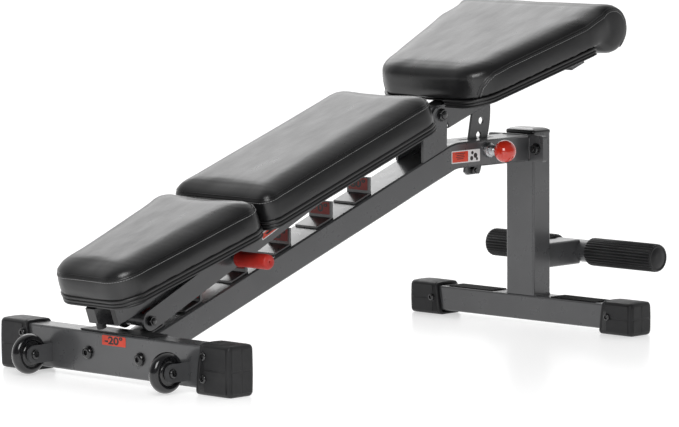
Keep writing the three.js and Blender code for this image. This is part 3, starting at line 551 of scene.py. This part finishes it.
# Side of a pad: height above its underside and inset, up to the top's rim.
PAD_SIDE = [(-3, 1.6), (6, 0.2), (20, -1.0), (34, -1.0), (42, 0.0), (48, 2.4), (53, 6.8), (56.6, 13),
            (58.8, 21), (59.8, 32), (60.3, 46)]

BOARD_LOW = 18.5
PAD_LOW, PAD_HIGH = 36.0, 94.0
BACK_PLAN = plan_outline(-592, -92, 137, 137, 28, 42)
HEAD_PLAN = plan_outline(-960, -599, 108, 137, 55, 38)


def board(name, outline):
    levels = [(BOARD_LOW + height, shrink) for height, shrink in BOARD_EDGE]
    make(name, [crowned(outline, levels)], HINGE, "backrest", EDGE_VINYL, (name,), smooth=50)


def pad(name, outline):
    tall = PAD_SIDE[-1][0]
    levels = [(PAD_LOW + height * (PAD_HIGH - PAD_LOW) / tall, shrink) for height, shrink in PAD_SIDE]
    piece = make(name, [crowned(outline, levels)], HINGE, "backrest", VINYL, (name,))
    puff(piece, 5.0, lambda p: in_hinge(p).z < PAD_LOW + HELD_HEIGHT)
    return piece


def seat_half(along):
    return min(139 + 0.2338 * along, 207)


SEAT_BOARD_START, SEAT_BOARD_END = 7, 300
SEAT_BOARD_LOW, SEAT_BOARD_HEIGHT = 12.5, 17.6
SEAT_NOTCH_END, SEAT_NOTCH_HALF = 36, 45
SEAT_LOW, SEAT_HIGH = 30.0, 91.0
SEAT_EDGE = 22
SEAT_INNER, SEAT_CORNER = 10.5, 50.0
SEAT_ROLL = (363.0, 41.0, 49.4)
SEAT_SIDE = [(-1, 1.6), (8, 0.2), (24, -1.2), (40, -1.0), (46, 0.2), (51, 2.8), (55, 7), (58, 13), (60, 21)]


def seat_plan(inner, outer, narrow, corner):
    """Seat outline from above, anticlockwise: flared sides and round inner corners."""
    edge = []
    for i in range(13):
        angle = math.pi / 2 * i / 12
        along = inner + corner * (1 - math.sin(angle))
        edge.append((along, seat_half(along) - narrow - corner * (1 - math.cos(angle))))
    steps = 24
    side = [(outer + (inner + corner - outer) * i / steps) for i in range(steps)]
    upper = [(along, seat_half(along) - narrow) for along in side] + edge
    lower = [(along, -half) for along, half in reversed(upper)]
    return lower + upper


def seat_pad():
    rings = []
    for height, narrow in SEAT_SIDE:
        level = SEAT_LOW + height
        over = max(0.0, level - (SEAT_HIGH - SEAT_EDGE))
        inner = SEAT_INNER + SEAT_EDGE - math.sqrt(max(SEAT_EDGE ** 2 - over ** 2, 0))
        rings.append([(x, y, level) for x, y in seat_plan(inner, 350, narrow, SEAT_CORNER)])
    body = loft(rings)
    along, up, radius = SEAT_ROLL
    profile = [(20, 0), (33, 0.6), (40, 1.6), (44.4, 4), (47.4, 8), (49, 13), (radius, 20)]
    half = seat_half(along) - 1
    turned_profile = [(r, half - y) for r, y in profile] + [(r, y - half) for r, y in reversed(profile)]
    roll = turned(turned_profile, 64, (along, 0, up))
    piece = make("seat_pad", [body, roll], HINGE, "seat", VINYL, ("seat_pad",))

    def held(p):
        local = in_hinge(p)
        return local.z < SEAT_LOW + HELD_HEIGHT and local.x < SEAT_BOARD_END + 5

    puff(piece, 4.0, held)
    return piece


def seat_board():
    """Board with its vinyl edge; a notch clears the hinge."""
    rings = []
    for height, shrink in BOARD_EDGE:
        start, end = SEAT_BOARD_START + shrink, SEAT_BOARD_END - shrink
        deep, half = SEAT_NOTCH_END + shrink, SEAT_NOTCH_HALF + shrink
        notch = [(start, half), (deep, half), (deep, -half), (start, -half)]
        level = SEAT_BOARD_LOW + height * SEAT_BOARD_HEIGHT / BOARD_EDGE[-1][0]
        rings.append([(x, y, level) for x, y in seat_plan(start, end, 2 + shrink, 48) + notch])
    make("seat_board", [loft(rings)], HINGE, "seat", EDGE_VINYL, ("seat_board",), smooth=50)


back_pad = pad("back_pad", BACK_PLAN)
head_pad = pad("head_pad", HEAD_PLAN)
seat_cushion = seat_pad()
board("back_board", BACK_PLAN)
board("head_board", HEAD_PLAN)
seat_board()


# ---------------------------------------------------------------- seams and stitches

def surface_of(piece):
    return BVHTree.FromPolygons([v.co.copy() for v in piece.data.vertices],
                                [tuple(p.vertices) for p in piece.data.polygons])


TO_ROW = Matrix.Scale(0.001, 4) @ HINGE
TURN = HINGE.to_3x3()


def project(tree, start, way):
    """Where a line from start, in the hinge's frame, meets a pad: (point, normal) in mm and that frame."""
    hit, normal, _, _ = tree.ray_cast(TO_ROW @ Vector(start), (TURN @ Vector(way)).normalized())
    if hit is None:
        return None
    return TO_ROW.inverted() @ hit, TURN.transposed() @ normal


def path_round(tree, outline, height):
    """Line round a pad's side at a height."""
    line = []
    for i, point in enumerate(outline):
        before, after = Vector(outline[i - 1]), Vector(outline[(i + 1) % len(outline)])
        along = (after - before).normalized()
        outward = Vector((along.y, -along.x, 0))
        start = Vector((point[0], point[1], height)) + outward * 25
        found = project(tree, start, -outward)
        if found:
            line.append(found)
    line.append(line[0])
    return line


def walk(line, step):
    """(point, normal, direction) at even steps along a line."""
    made, carry = [], 0.0
    for (a, na), (b, nb) in zip(line, line[1:]):
        length = (b - a).length
        if length < 1e-6:
            continue
        along = (b - a) / length
        gone = carry
        while gone < length:
            share = gone / length
            made.append((a.lerp(b, share), na.lerp(nb, share).normalized(), along))
            gone += step
        carry = gone - length
    return made


def offset_line(line, across_by, lift):
    """The line moved sideways over the surface and lifted off it."""
    made = []
    for i, (point, normal) in enumerate(line):
        ahead, behind = line[min(i + 1, len(line) - 1)][0], line[max(i - 1, 0)][0]
        across = normal.cross((ahead - behind).normalized()).normalized()
        made.append(point + across * across_by + normal * lift)
    return made


FOLD_RADIUS, FOLD_GAP = 0.85, 4.6
STITCH_STEP, STITCH_DOWN, THREAD_RADIUS = 5.4, 3.4, 0.6


def seam(name, line, body, closed):
    """Two raised folds of the cover with a row of stitches beneath them."""
    folds = [rod(offset_line(line, by, 0.05), FOLD_RADIUS, 6, not closed) for by in (0.0, FOLD_GAP)]
    make(f"{name}_seam", folds, HINGE, body, VINYL)
    threads = []
    for point, normal, along in walk(line, STITCH_STEP):
        across = normal.cross(along).normalized()
        middle = point - across * STITCH_DOWN + normal * 0.25
        stitch = [middle + along * reach + normal * rise
                  for reach, rise in ((-1.9, -0.6), (-1.2, 0.3), (1.2, 0.3), (1.9, -0.6))]
        threads.append(rod(stitch, THREAD_RADIUS, 5))
    make(f"{name}_stitches", threads, HINGE, body, THREAD)


seam("back_pad", path_round(surface_of(back_pad), BACK_PLAN, 77), "backrest", True)
seam("head_pad", path_round(surface_of(head_pad), HEAD_PLAN, 76), "backrest", True)

SEAT_SEAM = [(26, 36), (32, 50), (44, 62), (60, 69), (100, 71.5), (160, 72), (230, 72.5), (290, 73.5),
             (322, 76)]
SEAT_SEAM += [(SEAT_ROLL[0] + 40 * math.cos(math.radians(a)), SEAT_ROLL[1] + 40 * math.sin(math.radians(a)))
              for a in range(115, -90, -10)]
seat_surface = surface_of(seat_cushion)
for hand, side in SIDES:
    seat_line = []
    for (x0, z0), (x1, z1) in zip(SEAT_SEAM, SEAT_SEAM[1:]):
        pieces_of_line = max(1, round(math.hypot(x1 - x0, z1 - z0) / 7))
        for k in range(pieces_of_line):
            share = k / pieces_of_line
            start = (x0 + (x1 - x0) * share, side * 240, z0 + (z1 - z0) * share)
            found_point = project(seat_surface, start, (0, -side, 0))
            if found_point:
                seat_line.append(found_point)
    seam(f"seat_pad_{hand}", seat_line, "seat", False)


# ---------------------------------------------------------------- boots, caps and plugs

def boot(name, side, box, wall, inner, outer, tube_end):
    """Moulded rubber cup on the end of a cross tube: slanted mouth, swollen sides and mould seams."""
    x0, z0, x1, z1 = box
    cx, cz, hx, hz = (x0 + x1) / 2, (z0 + z1) / 2, (x1 - x0) / 2, (z1 - z0) / 2
    section = [(x - cx, z - cz) for x, z in resample(rounded(x0, z0, x1, z1, 8, 8), 2.5)]

    def ring(shrink, y, follow, swell=1.4):
        made = []
        for x, z in section:
            lean = 13 * (z1 - cz - z) / 100 if follow else 0
            u, v = x / hx, z / hz
            round_x = swell * (1 - v * v) * (abs(u) > 0.7)
            round_z = swell * (1 - u * u) * (v > 0.7)
            sx = x * (hx - shrink) / hx + math.copysign(round_x, x)
            sz = z * (hz - shrink) / hz + round_z
            made.append((cx + sx, side * (y - lean), max(cz + sz, z0)))
        return made

    rings = [
        ring(wall, tube_end, False, 0), ring(wall, inner + 3, True, 0),
        ring(wall - 0.6, inner + 0.4, True, 0), ring(3.0, inner, True, 0.5),
        ring(1.0, inner + 0.5, True), ring(0.4, inner + 2, True),
        ring(0.4, inner + 5.4, True), ring(1.0, inner + 6.4, True), ring(0.2, inner + 7.6, True),
        ring(0.2, outer - 14, False),
    ]
    for k in range(1, 6):
        angle = k / 5 * math.pi / 2
        rings.append(ring(0.2 + 5.5 * (1 - math.cos(angle)), outer - 6.5 + 5.5 * math.sin(angle), False))
    rings.append(ring(12, outer - 0.4, False, 0.6))
    rings.append(ring(22, outer - 0.2, False, 0.2))
    parts = [loft(rings)]
    gap = 1.3
    for u0, u1 in ((x0 + 7, cx - gap), (cx + gap, x1 - 7)):
        for v0, v1 in ((z0 + 7, cz - gap), (cz + gap, z1 - 7)):
            panel = slab(rounded(u0, v0, u1, v1, 2.5), 0, 1.4, 0.6, "XZ")
            parts.append(([(x, side * (outer - 1.2 + y), z) for x, y, z in panel[0]], panel[1]))
    for v0, v1 in ((z0 + 6, cz - gap), (cz + gap, z1 - 6)):
        panel = slab(rounded(inner + 12, v0, outer - 8, v1, 2.5), 0, 1.0, 0.5, "YZ")
        parts.append(([(x0 - 1.9 + x * 0.9, side * y, z) for x, y, z in panel[0]], panel[1]))
    make(name, parts, BENCH, "frame", RUBBER, (name,), smooth=35)


def boot_screw(name, x, y, z, radius):
    make(name, [dome_head((x, y, z), "X", -1, radius, 4.4, radius * 0.95),
                washer((x + 0.6, y, z), "X", -1, radius * 1.18, 0.9)],
         BENCH, "frame", FASTENER)


for hand, side in SIDES:
    boot(f"front_boot_{hand}", side, (-6, 0, 57, 96), 5.4, 239, 317, 300.5)
    boot(f"rear_boot_{hand}", side, (REAR_X - 6, 0, REAR_X + 57, 67), 5.4, 228, 306, 290.5)
    boot_screw(f"front_boot_screw_{hand}_upper", -7.4, side * 250, 73, 8.0)
    boot_screw(f"front_boot_screw_{hand}_lower", -7.4, side * 250, 31, 8.0)
    boot_screw(f"rear_boot_screw_{hand}", REAR_X - 7.4, side * 243, 36, 7.6)

# Post cap: rim over the tube's end and a shallow crown.
cap_rings = []
for level, grow in [(392.3, 0.9), (392.8, 1.4), (397, 1.4), (398.6, 0.6), (399.6, -1.2), (401.6, -5),
                    (403, -10), (403.8, -16), (404, -21)]:
    outline = rounded(REAR_X - grow, -TUBE_HALF_WIDTH - grow, REAR_X + POST_DEPTH + grow,
                      TUBE_HALF_WIDTH + grow, max(5 + grow, 2.5), 8)
    cap_rings.append([(x, y, level) for x, y in outline])
make("post_cap", [loft(cap_rings)], BENCH, "frame", PLASTIC, ("post_cap",), smooth=60)


# ---------------------------------------------------------------- wheels, rollers, grips, knob

def wheel(hand, side):
    """Transport wheel: round tread, dished face with a raised ring and a hub boss."""
    half = [(38.5, 0), (38.3, 2.6), (37.6, 5.2), (36.2, 7.8), (34.2, 9.8), (31.6, 11.0), (28.8, 11.5),
            (27.2, 11.1), (26.4, 9.6), (25.6, 8.8), (22.5, 8.6), (21.6, 9.2), (20.8, 10.4), (19.4, 10.9),
            (16.2, 10.9), (15.2, 11.8), (14.4, 12.6), (9.2, 12.8), (5.1, 12.8)]
    profile = [(radius, -height) for radius, height in reversed(half[1:])] + half
    centre = (WHEEL[0], side * WHEEL[1], WHEEL[2])
    make(f"wheel_{hand}", [hollow_turned(profile, 72, centre)], BENCH, f"wheel_{hand}",
         PLASTIC, (f"wheel_{hand}",), smooth=50)
    ends = []
    for way in (-1, 1):
        face = side * WHEEL[1] + way * 17.7
        ends.append(washer((centre[0], face, centre[2]), "Y", way, 9.5, 1.0))
        if way < 0:
            ends.append(dome_head((centre[0], face - 1.0, centre[2]), "Y", way, 8.4, 4.2, 7.4))
        else:
            ends.append(hex_nut((centre[0], face + 1.0, centre[2]), "Y", way, 14.5, 6.2, 4.9))
    shank = turned([(4.9, side * WHEEL[1] - 18), (4.9, side * WHEEL[1] + 18)], 24, (centre[0], 0, centre[2]))
    make(f"wheel_axle_{hand}", ends + [shank], BENCH, "frame", FASTENER,
         (f"wheel_axle_{hand}",))


def roller(hand, side):
    """Foot roller: fluted rubber sleeve with a flat end disc."""
    flutes, per_flute = 30, 6
    count = flutes * per_flute
    centre = Vector((ROLLER[0], 0, ROLLER[1]))

    def ring(radius, y, depth):
        made = []
        for i in range(count):
            angle = 2 * math.pi * i / count
            share = (i % per_flute) / per_flute
            dip = depth * (0.5 - 0.5 * math.cos(2 * math.pi * share))
            reach = radius - dip
            made.append(centre + Vector((reach * math.cos(angle), side * y, reach * math.sin(angle))))
        return made

    rings = [ring(13, 226, 0), ring(13, 50, 0), ring(14, 49.4, 0), ring(25, 49, 0), ring(27.6, 49.8, 0.4),
             ring(28.9, 52, 2.4), ring(28.9, 141, 2.4), ring(28.9, 222, 2.4), ring(28.4, 224.6, 1.6),
             ring(27.2, 226.8, 0.3), ring(25.6, 227.9, 0), ring(23.8, 228.0, 0), ring(22.8, 227.0, 0),
             ring(21.4, 226.9, 0), ring(20.6, 227.7, 0), ring(8, 228.2, 0), ring(0.5, 228.2, 0)]
    make(f"foot_roller_{hand}", [loft(rings)], BENCH, f"foot_roller_{hand}", RUBBER,
         (f"foot_roller_{hand}",), smooth=50)


def grip(hand, side):
    """Rubber grip on a strut handle, with fine rings and a vent in its round end."""
    x = -STRUT_LENGTH + 238
    rings = [(8.6, 131), (8.6, 52.6), (9.4, 52), (14.0, 52), (15.2, 52.8), (15.3, 56), (14.4, 57.2)]
    for k in range(22):
        y = 58.5 + k * 3.1
        rings += [(14.3, y), (14.75, y + 0.9), (14.75, y + 2.0), (14.3, y + 2.9)]
    rings += [(14.6, 129.0), (14.2, 132.2), (12.8, 134.6), (10.4, 135.8), (7.0, 136.0), (2.4, 136.0),
              (2.0, 135.4), (1.8, 133), (0.1, 133)]
    profile = [(r, side * y) for r, y in rings]
    make(f"strut_grip_{hand}", [turned(profile, 48, (x, 0, 0))], STRUT, "strut", RED_RUBBER,
         (f"strut_grip_{hand}",), smooth=70)


for hand, side in SIDES:
    wheel(hand, side)
    roller(hand, side)
    grip(hand, side)

pin_x = PIVOT[0] + PIN_CIRCLE * math.cos(PIN_ANGLE)
pin_z = PIVOT[1] + PIN_CIRCLE * math.sin(PIN_ANGLE)
PIN_AT = (pin_x, 0, pin_z)
KNOB_RADIUS, KNOB_Y, KNOB_NECK = 22.5, -86, 62
ball = [(5.4, -81.5), (5.4, -65.0), (9.5, -65.0), (11.0, -65.6)]
for k in range(1, 25):
    angle = math.radians(KNOB_NECK - k * (KNOB_NECK + 90) / 24)
    ball.append((KNOB_RADIUS * math.cos(angle), KNOB_Y + KNOB_RADIUS * math.sin(angle)))
make("pin_knob", [turned(ball, 64, PIN_AT)], BENCH, "pull_pin", RED_PLASTIC,
     ("pin_knob",), smooth=60)
PIN = [(3.6, -3.1), (5.2, -4.0), (6, -6.2), (6, -61.6), (5.0, -62.4), (5.0, -81)]
make("pull_pin", [turned(PIN, 32, PIN_AT)], BENCH, "pull_pin", ZINC, ("pull_pin",))

BARREL = [(6.4, -35), (9.6, -35), (10, -36), (10, -59.6), (9.0, -61), (8.0, -62), (6.4, -62)]
barrel = hollow_turned(BARREL, 40, PIN_AT)
nut_rings = [
    round_ring(10.1, -38.5, PIN_AT, "Y"), round_ring(14.2, -38.5, PIN_AT, "Y"),
    hex_ring(27, -39.6, PIN_AT, "Y"), hex_ring(27, -47.6, PIN_AT, "Y"),
    round_ring(12.8, -49, PIN_AT, "Y"), round_ring(10.1, -49, PIN_AT, "Y"),
]
threads_on_barrel = []
for k in range(6):
    down = k * 1.5
    thread = [(9.9, -50.2 - down), (10.5, -50.8 - down), (9.9, -51.4 - down)]
    threads_on_barrel.append(hollow_turned(thread, 40, PIN_AT))
make("pin_barrel", [barrel, loft(nut_rings, loop=True)] + threads_on_barrel, BENCH, "frame", ZINC,
     ("pin_barrel",))

SPRING_RADIUS, SPRING_START, SPRING_PITCH, SPRING_TURNS, SPRING_WIRE = 8.3, -33.4, 5.2, 4, 1.1
coil = []
for k in range(SPRING_TURNS * 24 + 1):
    angle = 2 * math.pi * k / 24
    coil.append((pin_x + SPRING_RADIUS * math.cos(angle), SPRING_START + SPRING_PITCH * k / 24,
                 pin_z + SPRING_RADIUS * math.sin(angle)))
make("pin_spring", [rod(coil, SPRING_WIRE, 8)], BENCH, "frame", ZINC, ("pin_spring",))


# ---------------------------------------------------------------- bolts

for hand, side in SIDES:
    y, z = side * BEAM_BOLT[0], BEAM_BOLT[1]
    make(f"beam_bolt_{hand}", [
        washer((-0.2, y, z), "X", -1, 13.6, 1.2),
        dome_head((-1.4, y, z), "X", -1, 12.2, 6.6, 9.5),
        turned([(6, -0.5), (6, 60)], 24, (0, y, z), "X"),
        hex_nut((57.0, y, z), "X", 1, 18.5, 9.0, 5.8),
    ], BENCH, "frame", FASTENER, (f"beam_bolt_{hand}",))
    y, z = side * FLANGE_BOLT[0], FLANGE_BOLT[1]
    make(f"flange_bolt_{hand}", [
        washer((1111.7, y, z), "X", -1, 12.4, 1.4),
        hex_nut((1110.3, y, z), "X", -1, 18.2, 7.6, 4.2),
        turned([(6, 1110), (6, 1130)], 24, (0, y, z), "X"),
        hex_nut((1124.3, y, z), "X", 1, 18.2, 8.4, 5.8),
    ], BENCH, "frame", FASTENER, (f"flange_bolt_{hand}",))

STOP_ANGLE, STOP_CIRCLE = math.radians(-62.5), 177.5
STOP_AT = (STOP_CIRCLE * math.cos(STOP_ANGLE), STOP_CIRCLE * math.sin(STOP_ANGLE))
for piece_name, place, body, at, half, head, nut, shank_radius in (
    ("hinge_bolt", BENCH, "frame", PIVOT, 38.2, 13.0, 22.0, 8.0),
    ("strut_pivot_bolt", HINGE, "backrest", (-STRUT_ALONG, STRUT_UP), 38.2, 11.6, 19.0, 7.0),
    ("strut_foot_bolt", STRUT, "strut", (-STRUT_LENGTH, 0), 38.2, 11.0, 17.5, 6.0),
    ("seat_stop_bolt", HINGE, "seat", STOP_AT, 2.8, 8.8, 15.5, 4.6),
):
    make(piece_name, [
        washer((at[0], half, at[1]), "Y", 1, head * 1.02, 1.3),
        dome_head((at[0], half + 1.3, at[1]), "Y", 1, head * 0.92, 5.4, head * 0.8),
        washer((at[0], -half, at[1]), "Y", -1, nut * 0.6, 1.3),
        hex_nut((at[0], -half - 1.3, at[1]), "Y", -1, nut, 6.6, shank_radius * 0.96),
        turned([(shank_radius, -half - 1), (shank_radius, half + 1)], 32, (at[0], 0, at[1])),
    ], place, body, FASTENER, (piece_name,))


# ---------------------------------------------------------------- welds

def bead(points, radius):
    """Weld bead: a wavy half-sunk bar along a line of points."""
    line = [Vector(p) for p in points]
    ripples = []
    for a, b in zip(line, line[1:]):
        count = max(2, round((b - a).length / 1.3))
        for k in range(count):
            ripples.append(a.lerp(b, k / count))
    ripples.append(line[-1])
    sides = 8
    made, faces = rod(ripples, radius, sides)
    for i in range(len(ripples)):
        swell = 1 + 0.16 * math.sin(i * 2.1) + 0.05 * math.sin(i * 0.7)
        for k in range(sides):
            made[i * sides + k] = ripples[i] + (Vector(made[i * sides + k]) - ripples[i]) * swell
    return made, faces


def weld(name, lines, radius=2.0):
    make(name, [bead(line, radius) for line in lines], BENCH, "frame", COAT, smooth=70)


weld("weld_tube_flange", [
    [(1111.2, -38, 343), (1111.2, -38, 386)],
    [(1111.2, 38, 343), (1111.2, 38, 386)],
    [(1111.2, -34, 390.4), (1111.2, 34, 390.4)],
    [(1111.2, -34, 338.6), (1111.2, 34, 338.6)],
])
weld("weld_foot_plate", [
    [(57.2, -38, 30), (57.2, -38, 80)],
    [(57.2, 38, 30), (57.2, 38, 80)],
    [(57.2, -34, 82.6), (57.2, 34, 82.6)],
])
weld("weld_post_foot", [
    [(REAR_X + 4, -38.4, 61.4), (REAR_X + 47, -38.4, 61.4)],
    [(REAR_X + 4, 38.4, 61.4), (REAR_X + 47, 38.4, 61.4)],
], radius=2.6)
weld("weld_foot_bracket", [
    [(REAR_X + 51.6, -25.2, 116), (REAR_X + 51.6, -25.2, 160)],
    [(REAR_X + 51.6, 25.2, 116), (REAR_X + 51.6, 25.2, 160)],
    [(REAR_X + 51.6, -22, 163), (REAR_X + 51.6, 22, 163)],
    [(REAR_X + 51.6, -22, 112.6), (REAR_X + 51.6, 22, 112.6)],
])
weld("weld_post_flange", [
    [(REAR_X - 0.4, -38.2, 342), (REAR_X - 0.4, -38.2, 388)],
    [(REAR_X - 0.4, 38.2, 342), (REAR_X - 0.4, 38.2, 388)],
])
for hand, side in SIDES:
    foot_y = side * 35
    weld(f"weld_hinge_plate_{hand}", [
        [(804, foot_y, main_top(804) + 0.6), (862, foot_y, main_top(862) + 0.6)],
    ], radius=2.2)
for number, face in enumerate(STEP_FACES, 1):
    weld(f"weld_step_{number}", [
        [(face + 1.4, -28, main_top(face) + 1.0), (face + 1.4, 28, main_top(face) + 1.0)],
    ], radius=1.9)
for hand, side in SIDES:
    weld(f"weld_fork_{hand}", [
        [(-3.6, side * WHEEL[1] - 13.2, 27), (-3.6, side * WHEEL[1] - 13.2, 55)],
        [(-3.6, side * WHEEL[1] + 13.2, 27), (-3.6, side * WHEEL[1] + 13.2, 55)],
    ], radius=1.4)


# ---------------------------------------------------------------- labels

def numeral(text, size, place, name, body):
    """Raised digits of a degree label, as a mesh."""
    curve = bpy.data.curves.new(name, "FONT")
    curve.body = text
    curve.size = size
    curve.align_x = "CENTER"
    curve.align_y = "CENTER"
    curve.extrude = 0.12
    curve.offset = size * 0.035
    holder = bpy.data.objects.new(name + "_text", curve)
    bpy.context.scene.collection.objects.link(holder)
    bpy.context.view_layer.update()
    mesh = bpy.data.meshes.new_from_object(holder.evaluated_get(bpy.context.evaluated_depsgraph_get()))
    bpy.data.objects.remove(holder)
    mesh.transform(Matrix.Scale(0.001, 4) @ place @ Matrix.Diagonal((1.45, 1.0, 1.0, 1.0)))
    mesh.materials.clear()
    mesh.materials.append(LABEL_INK)
    piece = bpy.data.objects.new(name, mesh)
    bpy.context.scene.collection.objects.link(piece)
    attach(piece, body)


def facing_head(x, y, z):
    """Matrix that puts a flat drawing on a face towards -X, upright, in bench millimetres."""
    turn = Matrix(((0, 0, -1, 0), (-1, 0, 0, 0), (0, 1, 0, 0), (0, 0, 0, 1)))
    return BENCH @ Matrix.Translation((x, y, z)) @ turn


LABELS = [("label_20", "-20°", (0, 0, 77.8), 65, 18.5, 20)]
for number, (face, text) in enumerate(zip(STEP_FACES, ("0°", "15°", "30°", "45°", "60°", "80°")), 1):
    LABELS.append((f"label_step_{number}", text, (face - 5, 0, main_top(face) + 20), 52, 24, 21))
for label_name, text, spot, wide, tall, size in LABELS:
    x, y, z = spot
    outline = rounded(-wide / 2, -tall / 2, wide / 2, tall / 2, 2.0)
    # The step labels take the darker red, which is painted shade; only the -20° label keeps the plain red.
    red = LABEL_RED if label_name == "label_20" else PAINTED_SHADE_STEP_RED
    make(label_name, [slab(outline, 0.05, 0.4)], facing_head(x, y, z), "frame", red)
    numeral(text, size, facing_head(x - 0.45, y, z - 0.4), label_name + "_number", "frame")


def side_label(name, place, body, wide, tall, split):
    """Plain information label: white edge, red field with bars, white field with simple shapes."""
    make(name, [slab(rounded(0, 0, wide, tall, 2.0), 0.05, 0.4)], place, body, LABEL_WHITE)
    make(name + "_field", [slab(rounded(2, 2, split, tall - 2, 1.2), 0.4, 0.55)], place, body,
         LABEL_RED)
    bars = []
    for k, share in enumerate((0.62, 0.46, 0.54, 0.4)):
        y = tall - 6.4 - k * (tall - 10) / 4.2
        start = 2 + (split - 2) * (1 - share) / 2
        bars.append(slab(rounded(start, y, start + (split - 2) * share, y + 1.5, 0.3, 2), 0.55, 0.66))
    width = wide - split
    for u, v, r in ((0.3, 0.3, 0.13), (0.62, 0.5, 0.15), (0.36, 0.74, 0.1), (0.74, 0.22, 0.09)):
        cx, cy = split + width * u, tall * v
        ring = [(cx + width * r * math.cos(a), cy + width * r * math.sin(a))
                for a in (2 * math.pi * k / 14 for k in range(14))]
        bars.append(slab(ring, 0.4, 0.55))
    make(name + "_marks", bars, place, body, LABEL_INK)


NEAR_FACE = Matrix(((1, 0, 0, 0), (0, 0, -1, 0), (0, 1, 0, 0), (0, 0, 0, 1)))
side_label("label_main_tube", BENCH @ Matrix.Translation((881, -38.0, 349)) @ NEAR_FACE, "frame", 83, 25, 48)
side_label("label_strut", STRUT @ Matrix.Translation((-170, -38.0, -7)) @ NEAR_FACE, "strut", 82, 14, 50)


# ---------------------------------------------------------------- camera, lights and floor

scene = bpy.context.scene
scene.view_settings.view_transform = "Standard"
scene.view_settings.look = "None"
scene.view_settings.exposure = 0.0
scene.view_settings.gamma = 1.0

FOCAL_PX, IMAGE_WIDTH = 4494.33, 679
AZIMUTH, ELEVATION, ROLL = 0.7812636, 0.1064675, -0.0062723
EYE = Vector((-5615.65, -6165.44, 1205.21))
forward = Vector((math.cos(AZIMUTH) * math.cos(ELEVATION), math.sin(AZIMUTH) * math.cos(ELEVATION),
                  -math.sin(ELEVATION)))
level = Vector((math.sin(AZIMUTH), -math.cos(AZIMUTH), 0))
above = level.cross(forward)
right = level * math.cos(ROLL) + above * math.sin(ROLL)
up = above * math.cos(ROLL) - level * math.sin(ROLL)
lens = bpy.data.cameras.new("camera")
lens.sensor_width = 36.0
lens.lens = FOCAL_PX / IMAGE_WIDTH * lens.sensor_width
lens.clip_start, lens.clip_end = 0.1, 100.0
camera = bpy.data.objects.new("camera", lens)
scene.collection.objects.link(camera)
turn = Matrix((right, up, -forward)).transposed().to_4x4()
camera.matrix_world = Matrix.Translation((EYE + Vector((-CENTRE_X, 0, 0))) / 1000) @ turn
scene.camera = camera

world = bpy.data.worlds.new("studio")
world.use_nodes = True
sky = world.node_tree
direction = sky.nodes.new("ShaderNodeTexCoord").outputs["Generated"]
facing = sky.nodes.new("ShaderNodeVectorMath")
facing.operation = "DOT_PRODUCT"
facing.inputs[1].default_value = (0.70, 0.70, 0.14)
sky.links.new(direction, facing.inputs[0])
shade = sky.nodes.new("ShaderNodeMapRange")
shade.inputs["From Min"].default_value = -0.1
shade.inputs["From Max"].default_value = 0.75
shade.inputs["To Min"].default_value = 0.16
shade.inputs["To Max"].default_value = 1.0
sky.links.new(facing.outputs["Value"], shade.inputs["Value"])
sky.links.new(shade.outputs["Result"], sky.nodes["Background"].inputs["Strength"])
sky.nodes["Background"].inputs["Color"].default_value = (1, 1, 1, 1)
scene.world = world


def soft_box(name, at, towards, size, power):
    light = bpy.data.lights.new(name, "AREA")
    light.shape = "RECTANGLE"
    light.size, light.size_y = size
    light.energy = power
    item = bpy.data.objects.new(name, light)
    scene.collection.objects.link(item)
    item.location = at
    item.rotation_euler = (Vector(towards) - Vector(at)).to_track_quat("-Z", "Y").to_euler()


soft_box("key_box", (-2.0, -1.3, 1.5), (-0.45, 0, 0.2), (1.2, 1.2), 30)
soft_box("back_box", (1.7, 2.5, 2.2), (-0.1, 0, 0.45), (2.0, 1.5), 15)

floor_mesh = bpy.data.meshes.new("floor")
floor_mesh.from_pydata([(-30, -30, 0), (30, -30, 0), (30, 30, 0), (-30, 30, 0)], [], [[0, 1, 2, 3]])
floor_material, _, floor_shader = node_material("floor")
floor_shader.inputs["Base Color"].default_value = (0.93, 0.93, 0.93, 1)
floor_shader.inputs["Roughness"].default_value = 0.25
floor_shader.inputs["Specular IOR Level"].default_value = 0.3
floor_shader.inputs["Emission Color"].default_value = (1, 1, 1, 1)
floor_shader.inputs["Emission Strength"].default_value = 0.5
floor_mesh.materials.append(floor_material)
floor = bpy.data.objects.new("floor", floor_mesh)
scene.collection.objects.link(floor)
